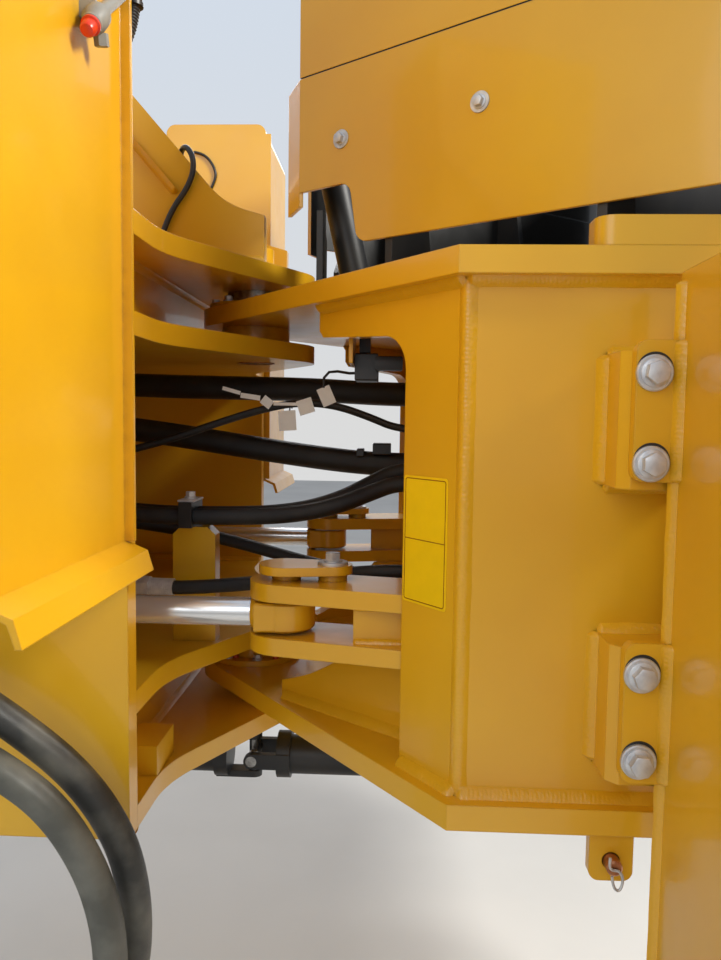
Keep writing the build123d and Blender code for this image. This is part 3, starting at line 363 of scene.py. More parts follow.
YELLOW = (0.800, 0.445, 0.012)
YELLOW_DEEP = (0.740, 0.385, 0.009)
# Colours mixed in at corners: dust and painted shade.
DUST_AND_SHADE = (0.210, 0.090, 0.006)
WELD_DUST_AND_SHADE = (0.48, 0.22, 0.01)
# Black for the painted shade inside the skirts.
INNER_SHADE_BLACK = (0.012, 0.012, 0.012)
paint = paint_look("machine_yellow", YELLOW, YELLOW_DEEP, DUST_AND_SHADE)
skirt_paint = paint_look("machine_yellow_skirts_shaded_inside", YELLOW, YELLOW_DEEP, DUST_AND_SHADE, inner_shade=True)
weld_paint = paint_look("machine_yellow_welds", YELLOW, YELLOW_DEEP, WELD_DUST_AND_SHADE,
                        grain=(210, 0.45, 0.0012))
black = dark_look()
zinc = metal_look("zinc_plate", (0.53, 0.54, 0.56), (0.67, 0.68, 0.69), 0.50, 300, 0.75)
pale_zinc = metal_look("pale_zinc_plate", (0.66, 0.67, 0.68), (0.82, 0.83, 0.84), 0.45, 300, 0.45)
steel = metal_look("greased_steel", (0.20, 0.19, 0.18), (0.42, 0.41, 0.39), 0.32, 200, 1.0)
copper = metal_look("copper_grease", (0.30, 0.12, 0.06), (0.58, 0.27, 0.14), 0.35, 200, 0.9)
chrome = chrome_look()
rubber = rubber_look("hose_cover", (0.012, 0.012, 0.013), (0.034, 0.032, 0.028), 0.42)
# The worn cover's pale patches are partly dust and partly painted sunlight.
worn_rubber_painted_lit = rubber_look("worn_hose_cover_painted_lit", (0.030, 0.030, 0.027), (0.190, 0.182, 0.148), 0.36)
dusty_rubber = rubber_look("dusty_hose_cover", (0.085, 0.085, 0.070), (0.235, 0.230, 0.190), 0.36)
sign_yellow = plain_look("sign_film", (0.97, 0.645, 0.004), 0.30, fade=0.95, Coat_Weight=0.3)
sign_line = plain_look("sign_border", (0.30, 0.095, 0.008), 0.60, Specular_IOR_Level=0.1)
tag_white = plain_look("blank_tag", (0.90, 0.885, 0.83), 0.50, fade=0.92)
plastic = plain_look("black_plastic", (0.020, 0.020, 0.021), 0.38)
cap_red = plain_look("red_cap", (0.72, 0.045, 0.012), 0.30)
cap_orange = plain_look("orange_cap", (0.62, 0.075, 0.012), 0.42)
grey_line = plain_look("grey_line", (0.30, 0.29, 0.26), 0.42)

SLOT_LOOKS = {"machine_paint": paint, "dark_paint": black, "bare_steel": steel,
              "zinc_fittings": zinc, "chromed_rod": chrome, "hose_rubber": rubber}
slots = {part["node"]: part["material_slot"] for part in frame["record"]["subparts"]}
for name, node in frame["nodes"].items():
    node.data.materials.clear()
    node.data.materials.append(skirt_paint if "skirts" in name else SLOT_LOOKS[slots[name]])


def recolour(name, look, inside):
    """Gives a CAD node's faces another material where inside(middle, normal) holds."""
    node = frame["nodes"][name]
    node.data.materials.append(look)
    for face in node.data.polygons:
        if inside(node.matrix_world @ face.center - HINGE, face.normal):
            face.material_index = 1


NEAR = 0.001
recolour("hinge_pins", paint,
         lambda p, n: p.z > FORK_LEVELS[-1] + FORK_PLATE or p.z < FORK_LEVELS[0])
recolour("hose_post", plastic,
         lambda p, n: p.z > CLAMP_Z[0] + NEAR / 2 and CLAMP_X[0] - NEAR < p.x < CLAMP_X[1] + NEAR)
# Painted shade: the undersides of the upper skirts are black.
recolour("cab_upper_skirts", black, lambda p, n: n.z < -0.9)


# Mesh building

SMOOTH = radians(40)
HEX_CUT = 0.97
BEAD_PITCH = 0.0048


class Form:
    """A mesh in the making, from rings of points skinned over."""

    def __init__(self):
        self.points = []
        self.faces = []
        self.marks = []

    def skin(self, rings, closed=True, lengths=None):
        """Joins rings of equally many points; lengths along them go to the UV map."""
        count = len(rings[0])
        first = len(self.points)
        lengths = lengths or [0.01 * i for i in range(len(rings))]
        for ring in rings:
            self.points.extend(ring)
        for i in range(len(rings) - 1):
            low, high = first + i * count, first + (i + 1) * count
            for j in range(count if closed else count - 1):
                k = (j + 1) % count
                self.faces.append((low + j, low + k, high + k, high + j))
                u0, u1, v0, v1 = lengths[i], lengths[i + 1], j / count, (j + 1) / count
                self.marks.append(((u0, v0), (u0, v1), (u1, v1), (u1, v0)))
        if closed:
            last = first + (len(rings) - 1) * count
            self.faces.append(tuple(reversed(range(first, first + count))))
            self.faces.append(tuple(range(last, last + count)))
            self.marks.extend([((0, 0),) * count] * 2)

    def lathe(self, place, profile, sides=32):
        """A turned form: radius and height of each ring, about the place's z axis."""
        turns = [2 * pi * j / sides for j in range(sides)]
        self.skin([[place @ Vector((radius * cos(t), radius * sin(t), height)) for t in turns]
                   for radius, height in profile])

    def hexagon(self, place, flats, height):
        """A hexagon head whose top corners are turned off."""
        sides, rings, top = 36, ([], [], []), HEX_CUT * flats / 2
        for j in range(sides):
            angle = 2 * pi * j / sides
            radius = flats / 2 / cos((angle + pi / 6) % (pi / 3) - pi / 6)
            drop = (radius - top) * tan(radians(30))
            for ring, (r, z) in zip(rings, ((radius, 0), (radius, height - drop), (top, height))):
                ring.append(place @ Vector((r * cos(angle), r * sin(angle), z)))
        self.skin(rings)

    def prism(self, place, outline, low, high, edge):
        """An outline given a thickness, with its rims broken by a narrow chamfer."""
        middle = sum((Vector(p) for p in outline), Vector((0, 0))) / len(outline)
        rings = []
        for height, inset in ((low, edge), (low + edge, 0), (high - edge, 0), (high, edge)):
            ring = []
            for p in outline:
                reach = Vector(p) - middle
                q = middle + reach * (1 - inset / max(reach.length, edge * 2))
                ring.append(place @ Vector((q.x, q.y, height)))
            rings.append(ring)
        self.skin(rings)

    def box(self, x, y, z, edge=0.002):
        """A block between pairs of limits, with broken edges."""
        outline = [(x[0], y[0]), (x[1], y[0]), (x[1], y[1]), (x[0], y[1])]
        self.prism(placed(at(0, 0, 0), Z, X), outline, z[0], z[1], edge)

    def tube(self, path, radius, sides):
        """A round tube along points, without twist; u of its UV map is the length in metres."""
        ahead = [(path[min(i + 1, len(path) - 1)] - path[max(i - 1, 0)]).normalized()
                 for i in range(len(path))]
        side = ahead[0].orthogonal().normalized()
        rings, lengths, run = [], [], 0.0
        for i, point in enumerate(path):
            side = (side - ahead[i] * side.dot(ahead[i])).normalized()
            other = ahead[i].cross(side)
            r = radius(i) if callable(radius) else radius
            rings.append([point + side * r * cos(2 * pi * j / sides) +
                          other * r * sin(2 * pi * j / sides) for j in range(sides)])
            run += (point - path[i - 1]).length if i else 0.0
            lengths.append(run)
        self.skin(rings, lengths=lengths)

    def smooth_tube(self, route, radius, sides=14):
        """A round tube along the smooth spline of a route."""
        self.tube(spline_points(route), radius, sides)

    def bead(self, start, end, a, b, leg=0.009, crown=0.0012, step=0.0016, outer=False):
        """A weld bead with ripples in the corner of two faces that run off along a and b.

        An outer one lies over a corner that stands out, and its ends don't taper.
        """
        points, ripple, lumps = (7, 0.16, 0.30) if outer else (6, 0.38, 0.25)
        across = -(a + b) if outer else a + b
        rise = across.length / 2 * leg if outer else 0.0
        across.normalize()
        line = end - start
        count = max(4, round(line.length / step))
        ahead = line.normalized()
        rings = []
        for i in range(count + 1):
            run = line.length * i / count
            taper = min(1.0, min(run, line.length - run) / leg * 2 + 0.15) ** 0.5
            ends = 1.0 if outer else taper
            wobble = noise.noise(start * 40 + Vector((run * 30, 0, 0)))
            size = leg * (1 + 0.10 * wobble) * ends
            ring = []
            for j in range(points):
                t = j / (points - 1)
                bow = sin(pi * t)
                wave = sin(2 * pi * (run - 0.35 * leg * bow) / BEAD_PITCH + 2.5 * wobble)
                swell = (rise + crown * (1 + ripple * wave + lumps * wobble) * ends) * bow
                ring.append(start + ahead * run + a * size * (1 - t) + b * size * t +
                            across * swell)
            rings.append(ring)
        self.skin(rings, closed=False)

    def made(self, name, look, slot, body=None, nodes=()):
        """The finished piece, riding on a body; without one, it is left unattached."""
        mesh = bpy.data.meshes.new(name)
        mesh.from_pydata([tuple(p) for p in self.points], [], self.faces)
        layer = mesh.uv_layers.new(name="UVMap")
        layer.data.foreach_set("uv", [c for face in self.marks for mark in face for c in mark])
        work = bmesh.new()
        work.from_mesh(mesh)
        bmesh.ops.recalc_face_normals(work, faces=work.faces)
        work.to_mesh(mesh)
        work.free()
        mesh.shade_smooth()
        mesh.set_sharp_from_angle(angle=SMOOTH)
        mesh.materials.append(look)
        piece = bpy.data.objects.new(name, mesh)
        bpy.context.scene.collection.objects.link(piece)
        if body:
            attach(piece, body)
        if nodes:
            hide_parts(*nodes)
        return piece


def spline_points(route):
    """Points read from the smooth spline whose control points are the route's."""
    curve = bpy.data.curves.new("route", "CURVE")
    curve.dimensions = "3D"
    curve.resolution_u = 10
    spline = curve.splines.new("NURBS")
    spline.points.add(len(route) - 1)
    for point, place in zip(spline.points, route):
        point.co = (*at(*place), 1)
    spline.order_u = 3
    spline.use_endpoint_u = True
    holder = bpy.data.objects.new("route", curve)
    mesh = bpy.data.meshes.new_from_object(holder)
    points = [vertex.co.copy() for vertex in mesh.vertices]
    bpy.data.objects.remove(holder)
    bpy.data.curves.remove(curve)
    bpy.data.meshes.remove(mesh)
    return points


# Weld beads

WEB_BEAD_ENDS = (0.004, 0.020)
CROSS_BEAD_Y = 0.050
EAR_RIM_BEAD = 0.018
EAR_INNER_BEAD = 0.095


def bevel_way(side):
    """Along a bevelled wall from its bend forward, and its outward direction."""
    return (Vector((cos(BEVEL), -side * sin(BEVEL), 0)),
            Vector((-sin(BEVEL), -side * cos(BEVEL), 0)))


def wall_welds(side):
    """Beads of a side wall: along the plates below and above it, and over its bend."""
    form = Form()
    bend = at(BEND_X, side * WALL_Y, 0)
    ahead, out = bevel_way(side)
    for height, up, run in ((PLATE, Z, BEVEL_RUN), (ROOF, -Z, ARM_RUN)):
        corner = bend + Z * height
        form.bead(corner, corner + X * (REAR - BEND_X), Y * side, up, leg=0.011)
        form.bead(corner, corner + ahead * run, out, up, leg=0.011)
    form.bead(bend + Z * PLATE, bend + Z * ROOF, X, ahead, leg=0.012, crown=0.0022, outer=True)
    return form


def tongue_welds():
    """Beads of the lower webs, the cross wall, and the clevis ears with their block."""
    form = Form()
    for side in SIDES.values():
        start = at(WEB_START[0], side * WEB_START[1], PLATE)
        along = Vector((cos(WEB_ANGLE), side * sin(WEB_ANGLE), 0))
        near = Vector((-sin(WEB_ANGLE), side * cos(WEB_ANGLE), 0))
        run = (CROSS_WALL_X - WEB_START[0]) / cos(WEB_ANGLE)
        front, back = WEB_BEAD_ENDS
        form.bead(start + along * front, start + along * run, near, Z, leg=0.012)
        inner = start - near * WALL
        form.bead(inner + along * front, inner + along * (run - back), -near, Z, leg=0.012)
        wall = side * (WALL_Y - WALL)
        form.bead(at(CROSS_WALL_X, side * CROSS_BEAD_Y, PLATE), at(CROSS_WALL_X, wall, PLATE),
                  -X, Z)
        form.bead(at(CROSS_WALL_X, 0, ROOF), at(CROSS_WALL_X, wall, ROOF), -X, -Z)
        form.bead(at(CROSS_WALL_X, wall, PLATE), at(CROSS_WALL_X, wall, ROOF), -X, -Y * side)
        ahead, out = bevel_way(side)
        rim = at(BEND_X, side * WALL_Y, 0) + ahead * BEVEL_RUN
        for low, high in EARS:
            for height, up in ((low, -Z), (high, Z)):
                outer = rim - out * EAR_STEP + Z * height
                form.bead(outer, outer - out * EAR_RIM_BEAD, ahead, up, leg=0.006)
                inner = rim - out * WALL + Z * height
                form.bead(inner, inner - ahead * EAR_INNER_BEAD, -out, up, leg=0.006)
        for height, up in ((EARS[0][1], Z), (EARS[1][0], -Z)):
            start, end = (at(x, side * BLOCK_Y, height) for x in BLOCK_X)
            form.bead(start, end, Y * side, up, leg=0.006)
    return form


def pad_welds():
    """Beads around the pads that carry the ladder."""
    form = Form()
    for low, high in EAR_ROWS:
        low, high = low - PAD_DROP, high - PAD_DROP
        for x0, x1 in PAD_X:
            for x, way in ((x0, -X), (x1, X)):
                form.bead(at(x, -WALL_Y, low), at(x, -WALL_Y, high), way, -Y, leg=0.011)
            for z, way in ((low, -Z), (high, Z)):
                form.bead(at(x0, -WALL_Y, z), at(x1, -WALL_Y, z), way, -Y, leg=0.010)
    return form


def ladder_welds():
    """Beads between the ladder's sides and its ears."""
    form = Form()
    for x, way in ((LADDER_X[0], -X), (LADDER_X[1], X)):
        for low, high in EAR_ROWS:
            form.bead(at(x, -EAR_FACE_Y, low), at(x, -EAR_FACE_Y, high), way, -Y, leg=0.009)
    return form


def front_welds():
    """Beads of the fork plates, their back walls and the arm tower."""
    form = Form()
    for level in FORK_LEVELS:
        for height, up in ((level, -Z), (level + FORK_PLATE, Z)):
            for side in SIDES.values():
                form.bead(at(FRONT, side * FORK_INNER, height),
                          at(FORK_EDGE_X, side * FORK_INNER, height), -Y * side, up, step=0.0024)
    for low, high in (FORK_LEVELS[:2], FORK_LEVELS[2:]):
        for height, up in ((low + FORK_PLATE, Z), (high, -Z)):
            form.bead(at(BACK_WALL_X, -FORK_INNER, height), at(BACK_WALL_X, FORK_INNER, height),
                      X, up)
    level = FORK_LEVELS[-1] + FORK_PLATE
    for side in SIDES.values():
        for y, way in ((TOWER_Y[0], -side), (TOWER_Y[1], side)):
            form.bead(at(FRONT, side * y, level), at(TOWER_END, side * y, level), Y * way, Z,
                      step=0.0024)
    return form


for name, side in SIDES.items():
    wall_welds(side).made(f"weld_beads_wall_{name}", weld_paint, "machine_paint", "rear_frame")
tongue_welds().made("weld_beads_tongues", weld_paint, "machine_paint", "rear_frame")
pad_welds().made("weld_beads_pads", weld_paint, "machine_paint", "rear_frame")
ladder_welds().made("weld_beads_ladder", weld_paint, "machine_paint", "rear_frame")
front_welds().made("weld_beads_front", weld_paint, "machine_paint", "front_frame")


# Bolts: width over flats and height of the head, diameter and thickness of the washer
LADDER_BOLT = (0.021, 0.013, 0.037, 0.005)
KEEPER_BOLT = (0.019, 0.012, 0.042, 0.004)
BEARING_BOLT = (0.013, 0.008, 0.018, 0.002)
PIN_BOLT = (0.019, 0.012, 0.026, 0.002)
SKIRT_BOLT = (0.013, 0.008, 0.027, 0.002)
CLAMP_BOLT = (0.013, 0.009, 0.018, 0.002)

# Their places, and thin black discs as painted shade in the ends of the ladder's slots that show behind the
# washers
LADDER_BOLT_X = 0.5115
LADDER_BOLT_ROWS = ((0.424, 0.5155), (0.113, 0.205))
SLOT_RADIUS = 0.0185
SLOT_OFF = (0.001, 0.003)
SLOT_LIFT = 0.0004
BEARING_BOLTS = 8
BEARING_CIRCLE = 0.071
SKIRT_BOLT_RUNS = (0.081, 0.308)
SKIRT_BOLT_Z = 0.870


def bolt(form, place, size, spin=0.0):
    """A hexagon head with a thin flange, on a washer whose edge is broken."""
    flats, head, washer, thickness = size
    radius = washer / 2
    place = place @ Matrix.Rotation(spin, 4, "Z")
    form.lathe(place, [(radius, 0), (radius, thickness * 0.75),
                       (radius - thickness * 0.25, thickness)], sides=48)
    flange = place @ Matrix.Translation((0, 0, thickness))
    form.lathe(flange, [(flats * 0.70, 0), (flats * 0.70, head * 0.12), (flats * 0.60, head * 0.2)],
               sides=40)
    form.hexagon(flange, flats, head)


ladder_bolts, ear_slot_shade = Form(), Form()
for i, row in enumerate(LADDER_BOLT_ROWS):
    for x in (LADDER_BOLT_X, LADDER_X[0] + LADDER_X[1] - LADDER_BOLT_X):
        for j, z in enumerate(row):
            bolt(ladder_bolts, placed(at(x, -EAR_FACE_Y, z), -Y), LADDER_BOLT,
                 spin=0.5 * i + 0.9 * j)
            # Painted shade: a thin black disc in each slot's end behind the washer.
            ear_slot_shade.lathe(placed(at(x + SLOT_OFF[0], -EAR_FACE_Y, z + SLOT_OFF[1]), -Y),
                            [(SLOT_RADIUS, 0), (SLOT_RADIUS, SLOT_LIFT)], sides=40)
ladder_bolts.made("ladder_bolts", zinc, "zinc_fittings", "rear_frame")
ear_slot_shade.made("ear_slot_shade", plastic, "dark_paint", "rear_frame")

keeper_bolts = Form()
for side in SIDES.values():
    x = CLEVIS_PIN[0] + KEEPER[0]
    bolt(keeper_bolts, placed(at(x, side * CLEVIS_PIN[1], KEEPER[1]), Z), KEEPER_BOLT)
keeper_bolts.made("keeper_bolts", zinc, "zinc_fittings", "rear_frame")

bearing_bolts = Form()
for height in BEARING_TOPS:
    for i in range(BEARING_BOLTS):
        angle = 2 * pi * (i + 0.3) / BEARING_BOLTS
        x, y = BEARING_CIRCLE * cos(angle), BEARING_CIRCLE * sin(angle)
        bolt(bearing_bolts, placed(at(x, y, height), Z), BEARING_BOLT, spin=i)
bearing_bolts.made("bearing_bolts", zinc, "zinc_fittings", "rear_frame")

pin_bolts = Form()
for height, up in ((COVER_TOP, Z), (DISC_BOTTOM, -Z)):
    bolt(pin_bolts, placed(at(0, 0, height), up), PIN_BOLT, spin=0.3)
pin_bolts.made("pin_bolts", zinc, "zinc_fittings", "front_frame")


def skirt_point(side, run, height, off=0.0):
    """A point on a skirt's outer face, by its run from the front end and its height."""
    x = SKIRT_START[0] + run * cos(SKIRT_ANGLE) - off * sin(SKIRT_ANGLE)
    y = SKIRT_START[1] + run * sin(SKIRT_ANGLE) + off * cos(SKIRT_ANGLE)
    return at(x, side * y, height)


skirt_bolts = Form()
for side in SIDES.values():
    out = Vector((-sin(SKIRT_ANGLE), side * cos(SKIRT_ANGLE), 0))
    for run in SKIRT_BOLT_RUNS:
        bolt(skirt_bolts, placed(skirt_point(side, run, SKIRT_BOLT_Z), out), SKIRT_BOLT,
             spin=run * 9)
skirt_bolts.made("skirt_bolts", zinc, "zinc_fittings", "rear_frame")

# Seal in the seam between a skirt and the one above it: its front end and its depths
SEAL_START = 0.002
SEAL_DEPTHS = (-0.001, -0.004)
seams = Form()
shallow, deep = SEAL_DEPTHS
corners = [(SEAL_START, shallow), (SKIRT_LENGTH, shallow), (SKIRT_LENGTH, deep), (SEAL_START, deep)]
for side in SIDES.values():
    seams.skin([[skirt_point(side, run, z, off) for run, off in corners] for z in SEAM_Z])
seams.made("skirt_seals", plastic, "hose_rubber", "rear_frame")

# Blank sign sheet of two panels on the left bevelled wall
SIGN_RUN = (0.024, 0.104)
SIGN_Z = (0.241, 0.3205, 0.398)
SIGN = 0.0008
SIGN_CORNER = 0.004
SIGN_RIM = 0.0035
RIM_CORNER = 0.003
SIGN_LINE = 0.0006


def sheet_outline(low, high, corner, steps=5):
    """Corners of a rectangle with rounded corners, between two points of a plane."""
    points = []
    for x, y, first in ((high[0], high[1], 0), (low[0], high[1], 1), (low[0], low[1], 2),
                        (high[0], low[1], 3)):
        cx = x - corner if x == high[0] else x + corner
        cy = y - corner if y == high[1] else y + corner
        for i in range(steps + 1):
            angle = (first + i / steps) * pi / 2
            points.append((cx + corner * cos(angle), cy + corner * sin(angle)))
    return points


ahead, out = bevel_way(-1)
sign_place = placed(at(BEND_X, -WALL_Y, 0), out, ahead)
flip = 1 if (sign_place.to_3x3() @ Y).z > 0 else -1
signs, borders = Form(), Form()
span = sorted((flip * SIGN_Z[0], flip * SIGN_Z[-1]))
plate = sheet_outline((SIGN_RUN[0], span[0]), (SIGN_RUN[1], span[1]), SIGN_CORNER)
signs.prism(sign_place, plate, 0.0, SIGN, edge=0.0002)
rim_run = (SIGN_RUN[0] + SIGN_RIM, SIGN_RUN[1] - SIGN_RIM)
rim = sheet_outline((rim_run[0], span[0] + SIGN_RIM), (rim_run[1], span[1] - SIGN_RIM),
                    RIM_CORNER)
for points in ([*rim, rim[0]], [(x, flip * SIGN_Z[1]) for x in rim_run]):
    borders.tube([sign_place @ Vector((x, y, SIGN)) for x, y in points], SIGN_LINE, sides=6)
signs.made("blank_signs", sign_yellow, "machine_paint", "rear_frame")
borders.made("sign_borders", sign_line, "dark_paint", "rear_frame")


# Steering rods: a chromed bar and a painted eye in place of the CAD rod, and the barrel's wiper.
# The bar, the collar and the wiper are turned about the stroke, the neck's outline is in plan.
ROD_BAR = [(0.018, -0.548), (0.020, -0.546), (0.020, -0.038), (0.019, -0.030)]
EYE_COLLAR = [(0.0202, -0.048), (0.0235, -0.045), (0.0245, -0.041), (0.0245, -0.030)]
EYE_NECK = [(-0.040, -0.037), (-0.010, -0.0385), (-0.010, 0.0385), (-0.040, 0.037)]
WIPER = [(0.034, -0.004), (0.034, 0.002), (0.031, 0.005), (0.024, 0.006), (0.0206, 0.010),
         (0.0206, -0.004)]
EYE_BORE = 0.0175
EYE_EDGE = 0.003
NECK_SINK = 0.0002
for name, side in SIDES.items():
    joint = next(j for j in frame["joints"] if j["name"] == f"rod_{name}_stroke")
    eye_place = at(CLEVIS_PIN[0], side * CLEVIS_PIN[1], EYE_Z)
    line = placed(eye_place, joint["axis"])
    bar = Form()
    bar.lathe(line, ROD_BAR, sides=48)
    bar.made(f"steering_rod_{name}", chrome, "chromed_rod", f"rod_{name}", [f"cylinder_rod_{name}"])
    eye = Form()
    radius, half = EYE[0], EYE[1] / 2
    eye.lathe(placed(eye_place, Z), [
        (EYE_BORE, -half), (radius - EYE_EDGE, -half), (radius, EYE_EDGE - half),
        (radius, half - EYE_EDGE), (radius - EYE_EDGE, half), (EYE_BORE, half)], sides=64)
    eye.lathe(line, EYE_COLLAR, sides=40)
    eye.prism(placed(eye_place, Z, line.to_3x3() @ Z), EYE_NECK, NECK_SINK - half,
              half - NECK_SINK, edge=EYE_EDGE)
    eye.made(f"rod_eye_{name}", paint, "machine_paint", f"rod_{name}")
    wiper = Form()
    mouth = eye_place - Vector(joint["axis"]) * (hypot(*FOOT_OFF) - BARREL)
    wiper.lathe(placed(mouth, joint["axis"]), WIPER, sides=40)
    wiper.made(f"rod_wiper_{name}", plastic, "hose_rubber", f"barrel_{name}")


# Hoses: nut and ferrule of their ends, and what these add to the hose's diameter and radius
NUT = 0.018
FERRULE = 0.026
NUT_WALL = 0.010
FERRULE_WALL = 0.003


def fitting(form, place, diameter, nut=NUT, ferrule=FERRULE, grooves=5, depth=0.0012):
    """Hexagon and crimped ferrule of a hose end; the place's z axis points along the hose."""
    form.hexagon(place, (diameter + NUT_WALL) * 0.9, nut)
    radius = diameter / 2 + FERRULE_WALL
    step = ferrule / grooves
    profile = [(radius - 0.001, nut)]
    for i in range(grooves):
        start = nut + step * i
        profile += [(radius, start + step * 0.1), (radius, start + step * 0.7),
                    (radius - depth, start + step * 0.85)]
    profile.append((diameter / 2, nut + ferrule))
    form.lathe(place, profile)


END = NUT + FERRULE
fittings_front, fittings_rear, fittings_hanging = Form(), Form(), Form()
for name, (diameter, length, route) in HITCH_HOSES.items():
    path = spline_points(route)
    form = Form()
    form.tube(path, diameter / 2, sides=24)
    piece = form.made(name.replace("hose", "cover"), rubber, "hose_rubber", nodes=[name])
    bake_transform(piece)
    fitting(fittings_front, placed(at(*route[0]) - X * END, X), diameter)
    fitting(fittings_rear, placed(at(*route[-1]) + X * END, -X), diameter)
for name, (diameter, length, route) in HANGING_HOSES.items():
    path = spline_points(route)
    form = Form()
    form.tube(path, diameter / 2, sides=32)
    look = dusty_rubber if "inner" in name else worn_rubber_painted_lit
    piece = form.made(name.replace("hose", "cover"), look, "hose_rubber", "front_frame", [name])
    fitting(fittings_hanging, placed(at(*route[0]) - X * END, X), diameter)
    fitting(fittings_hanging, placed(at(*route[-1]) + Z * END, -Z), diameter)
fittings_front.made("hose_ends_front", zinc, "zinc_fittings", "front_frame",
                    ["hose_fittings_front"])
fittings_rear.made("hose_ends_rear", zinc, "zinc_fittings", "rear_frame", ["hose_fittings_rear"])
fittings_hanging.made("hose_ends_hanging", zinc, "zinc_fittings", "front_frame",
                      ["hanging_hose_fittings"])


# Coupling of the port hose
COUPLING_X = (-0.153, -0.072)
path = spline_points(HITCH_HOSES["hose_port"][2])
start, end = (min(path, key=lambda p: abs(p.x - at(x, 0, 0).x)) for x in COUPLING_X)
coupling = Form()
fitting(coupling, placed(start, end - start), HITCH_HOSES["hose_port"][0], nut=0.041,
        ferrule=0.036, grooves=11, depth=0.0006)
coupling_piece = coupling.made("port_hose_coupling", pale_zinc, "zinc_fittings")
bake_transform(coupling_piece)

# Blank tags on the harness: middle (x, z), size and turn of each, and the loop of the last tie
HARNESS_TAGS = (
    ((-0.011, 0.509), (0.030, 0.006), -15), ((0.020, 0.4995), (0.032, 0.008), -8),
    ((0.047, 0.491), (0.018, 0.015), -38), ((0.076, 0.4885), (0.038, 0.005), 0),
    ((0.109, 0.485), (0.025, 0.024), 18), ((0.080, 0.462), (0.028, 0.032), 4),
    ((0.142, 0.502), (0.022, 0.030), 24))
TAG_Y = -0.160
TAG = 0.0006
TIED_HEIGHT = 0.012
TIE = 0.0011
TIE_LOOP = ((0.137, TAG_Y, 0.515), (0.138, TAG_Y, 0.531), (0.146, TAG_Y, 0.540),
            (0.160, -0.165, 0.541), (0.180, -0.185, 0.537), (0.200, -0.215, 0.536))
tags, ties = Form(), Form()
for i, ((x, z), (width, height), turn) in enumerate(HARNESS_TAGS):
    place = placed(at(x, TAG_Y - 0.002 * (i % 3), z), -Y) @ Matrix.Rotation(radians(turn), 4, "Z")
    half = (width / 2, height / 2)
    sheet = [(-half[0], -half[1]), (half[0], -half[1]), (half[0], half[1]), (-half[0], half[1])]
    tags.prism(place, sheet, -TAG / 2, TAG / 2, edge=0.0001)
    if height > TIED_HEIGHT:
        top = 0.482 + 0.05 * x
        ties.tube([at(x, TAG_Y + 0.001, z), at(x + 0.004, TAG_Y + 0.003, top),
                   at(x + 0.006, TAG_Y + 0.008, top - 0.004)], TIE, sides=8)
ties.tube([at(*p) for p in TIE_LOOP], TIE * 2, sides=10)
for form, name, look, slot in ((tags, "harness_tags", tag_white, "hose_rubber"),
                               (ties, "harness_ties", plastic, "hose_rubber")):
    piece = form.made(name, look, slot)
    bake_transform(piece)


# Rear frame: connectors under the roof, a clip on the main hose, grease caps, the catch's pin
CONNECTORS = (
    ((0.192, 0.226), (-0.262, -0.205), (0.522, 0.562)),
    ((0.198, 0.214), (-0.250, -0.215), (0.562, 0.590)),
    ((0.222, 0.262), (-0.285, -0.262), (0.536, 0.556)),
    ((0.214, 0.246), (-0.046, 0.004), (0.404, 0.424)),
    ((0.186, 0.198), (-0.044, 0.002), (0.400, 0.414)))
BRACKET_FOOT = ((0.180, 0.198), (-0.300, -0.205), (0.588, ROOF))
BRACKET = ((0.185, 0.191), (-0.295, -0.210), (0.545, 0.590))
CAP_X = (-0.024, 0.048)
CAP_Y = -0.060
CAP = [(0.0055, 0), (0.0055, 0.006), (0.004, 0.008), (0.004, 0.013), (0.003, 0.015)]
CATCH_Y = -0.558
CATCH_PIN = [(0.007, 0), (0.009, 0.002), (0.009, 0.034), (0.013, 0.034), (0.013, 0.040)]
CATCH_CLIP = ((0.500, -0.562, -0.018), (0.499, -0.562, -0.028), (0.503, -0.560, -0.034),
              (0.512, -0.560, -0.034), (0.516, -0.561, -0.046), (0.511, -0.562, -0.058),
              (0.504, -0.562, -0.052), (0.503, -0.561, -0.040))
CLIP_WIRE = 0.0016
LADDER_BEAD_END = 0.01
connectors = Form()
for limits in CONNECTORS:
    connectors.box(*limits)
connectors.made("connectors", plastic, "dark_paint", "rear_frame")
bracket = Form()
bracket.box(*BRACKET_FOOT)
bracket.box(*BRACKET, edge=0.001)
bracket.made("connector_bracket", paint, "machine_paint", "rear_frame")
caps = Form()
for x in CAP_X:
    caps.lathe(placed(at(x, CAP_Y, BEARING_TOPS[1]), Z), CAP, sides=24)
caps.made("grease_caps", cap_orange, "dark_paint", "rear_frame")
pin = Form()
pin.lathe(placed(at(CATCH_HOLE[0], CATCH_Y, CATCH_HOLE[1]), Y), CATCH_PIN, sides=28)
pin.made("catch_pin", copper, "bare_steel", "rear_frame")
clip = Form()
clip.smooth_tube(CATCH_CLIP, CLIP_WIRE, sides=10)
clip.made("catch_clip", zinc, "zinc_fittings", "rear_frame")
long_bead = Form()
for x, way in ((LADDER_X[0], -X), (LADDER_X[1], X)):
    start, end = (at(x, -LADDER_EDGE_Y, z)
                  for z in (LADDER_Z[0] + LADDER_BEAD_END, LADDER_Z[1] - LADDER_BEAD_END))
    long_bead.bead(start, end, way, -Y, leg=0.008, step=0.002)
long_bead.made("weld_beads_ladder_edge", weld_paint, "machine_paint", "rear_frame")

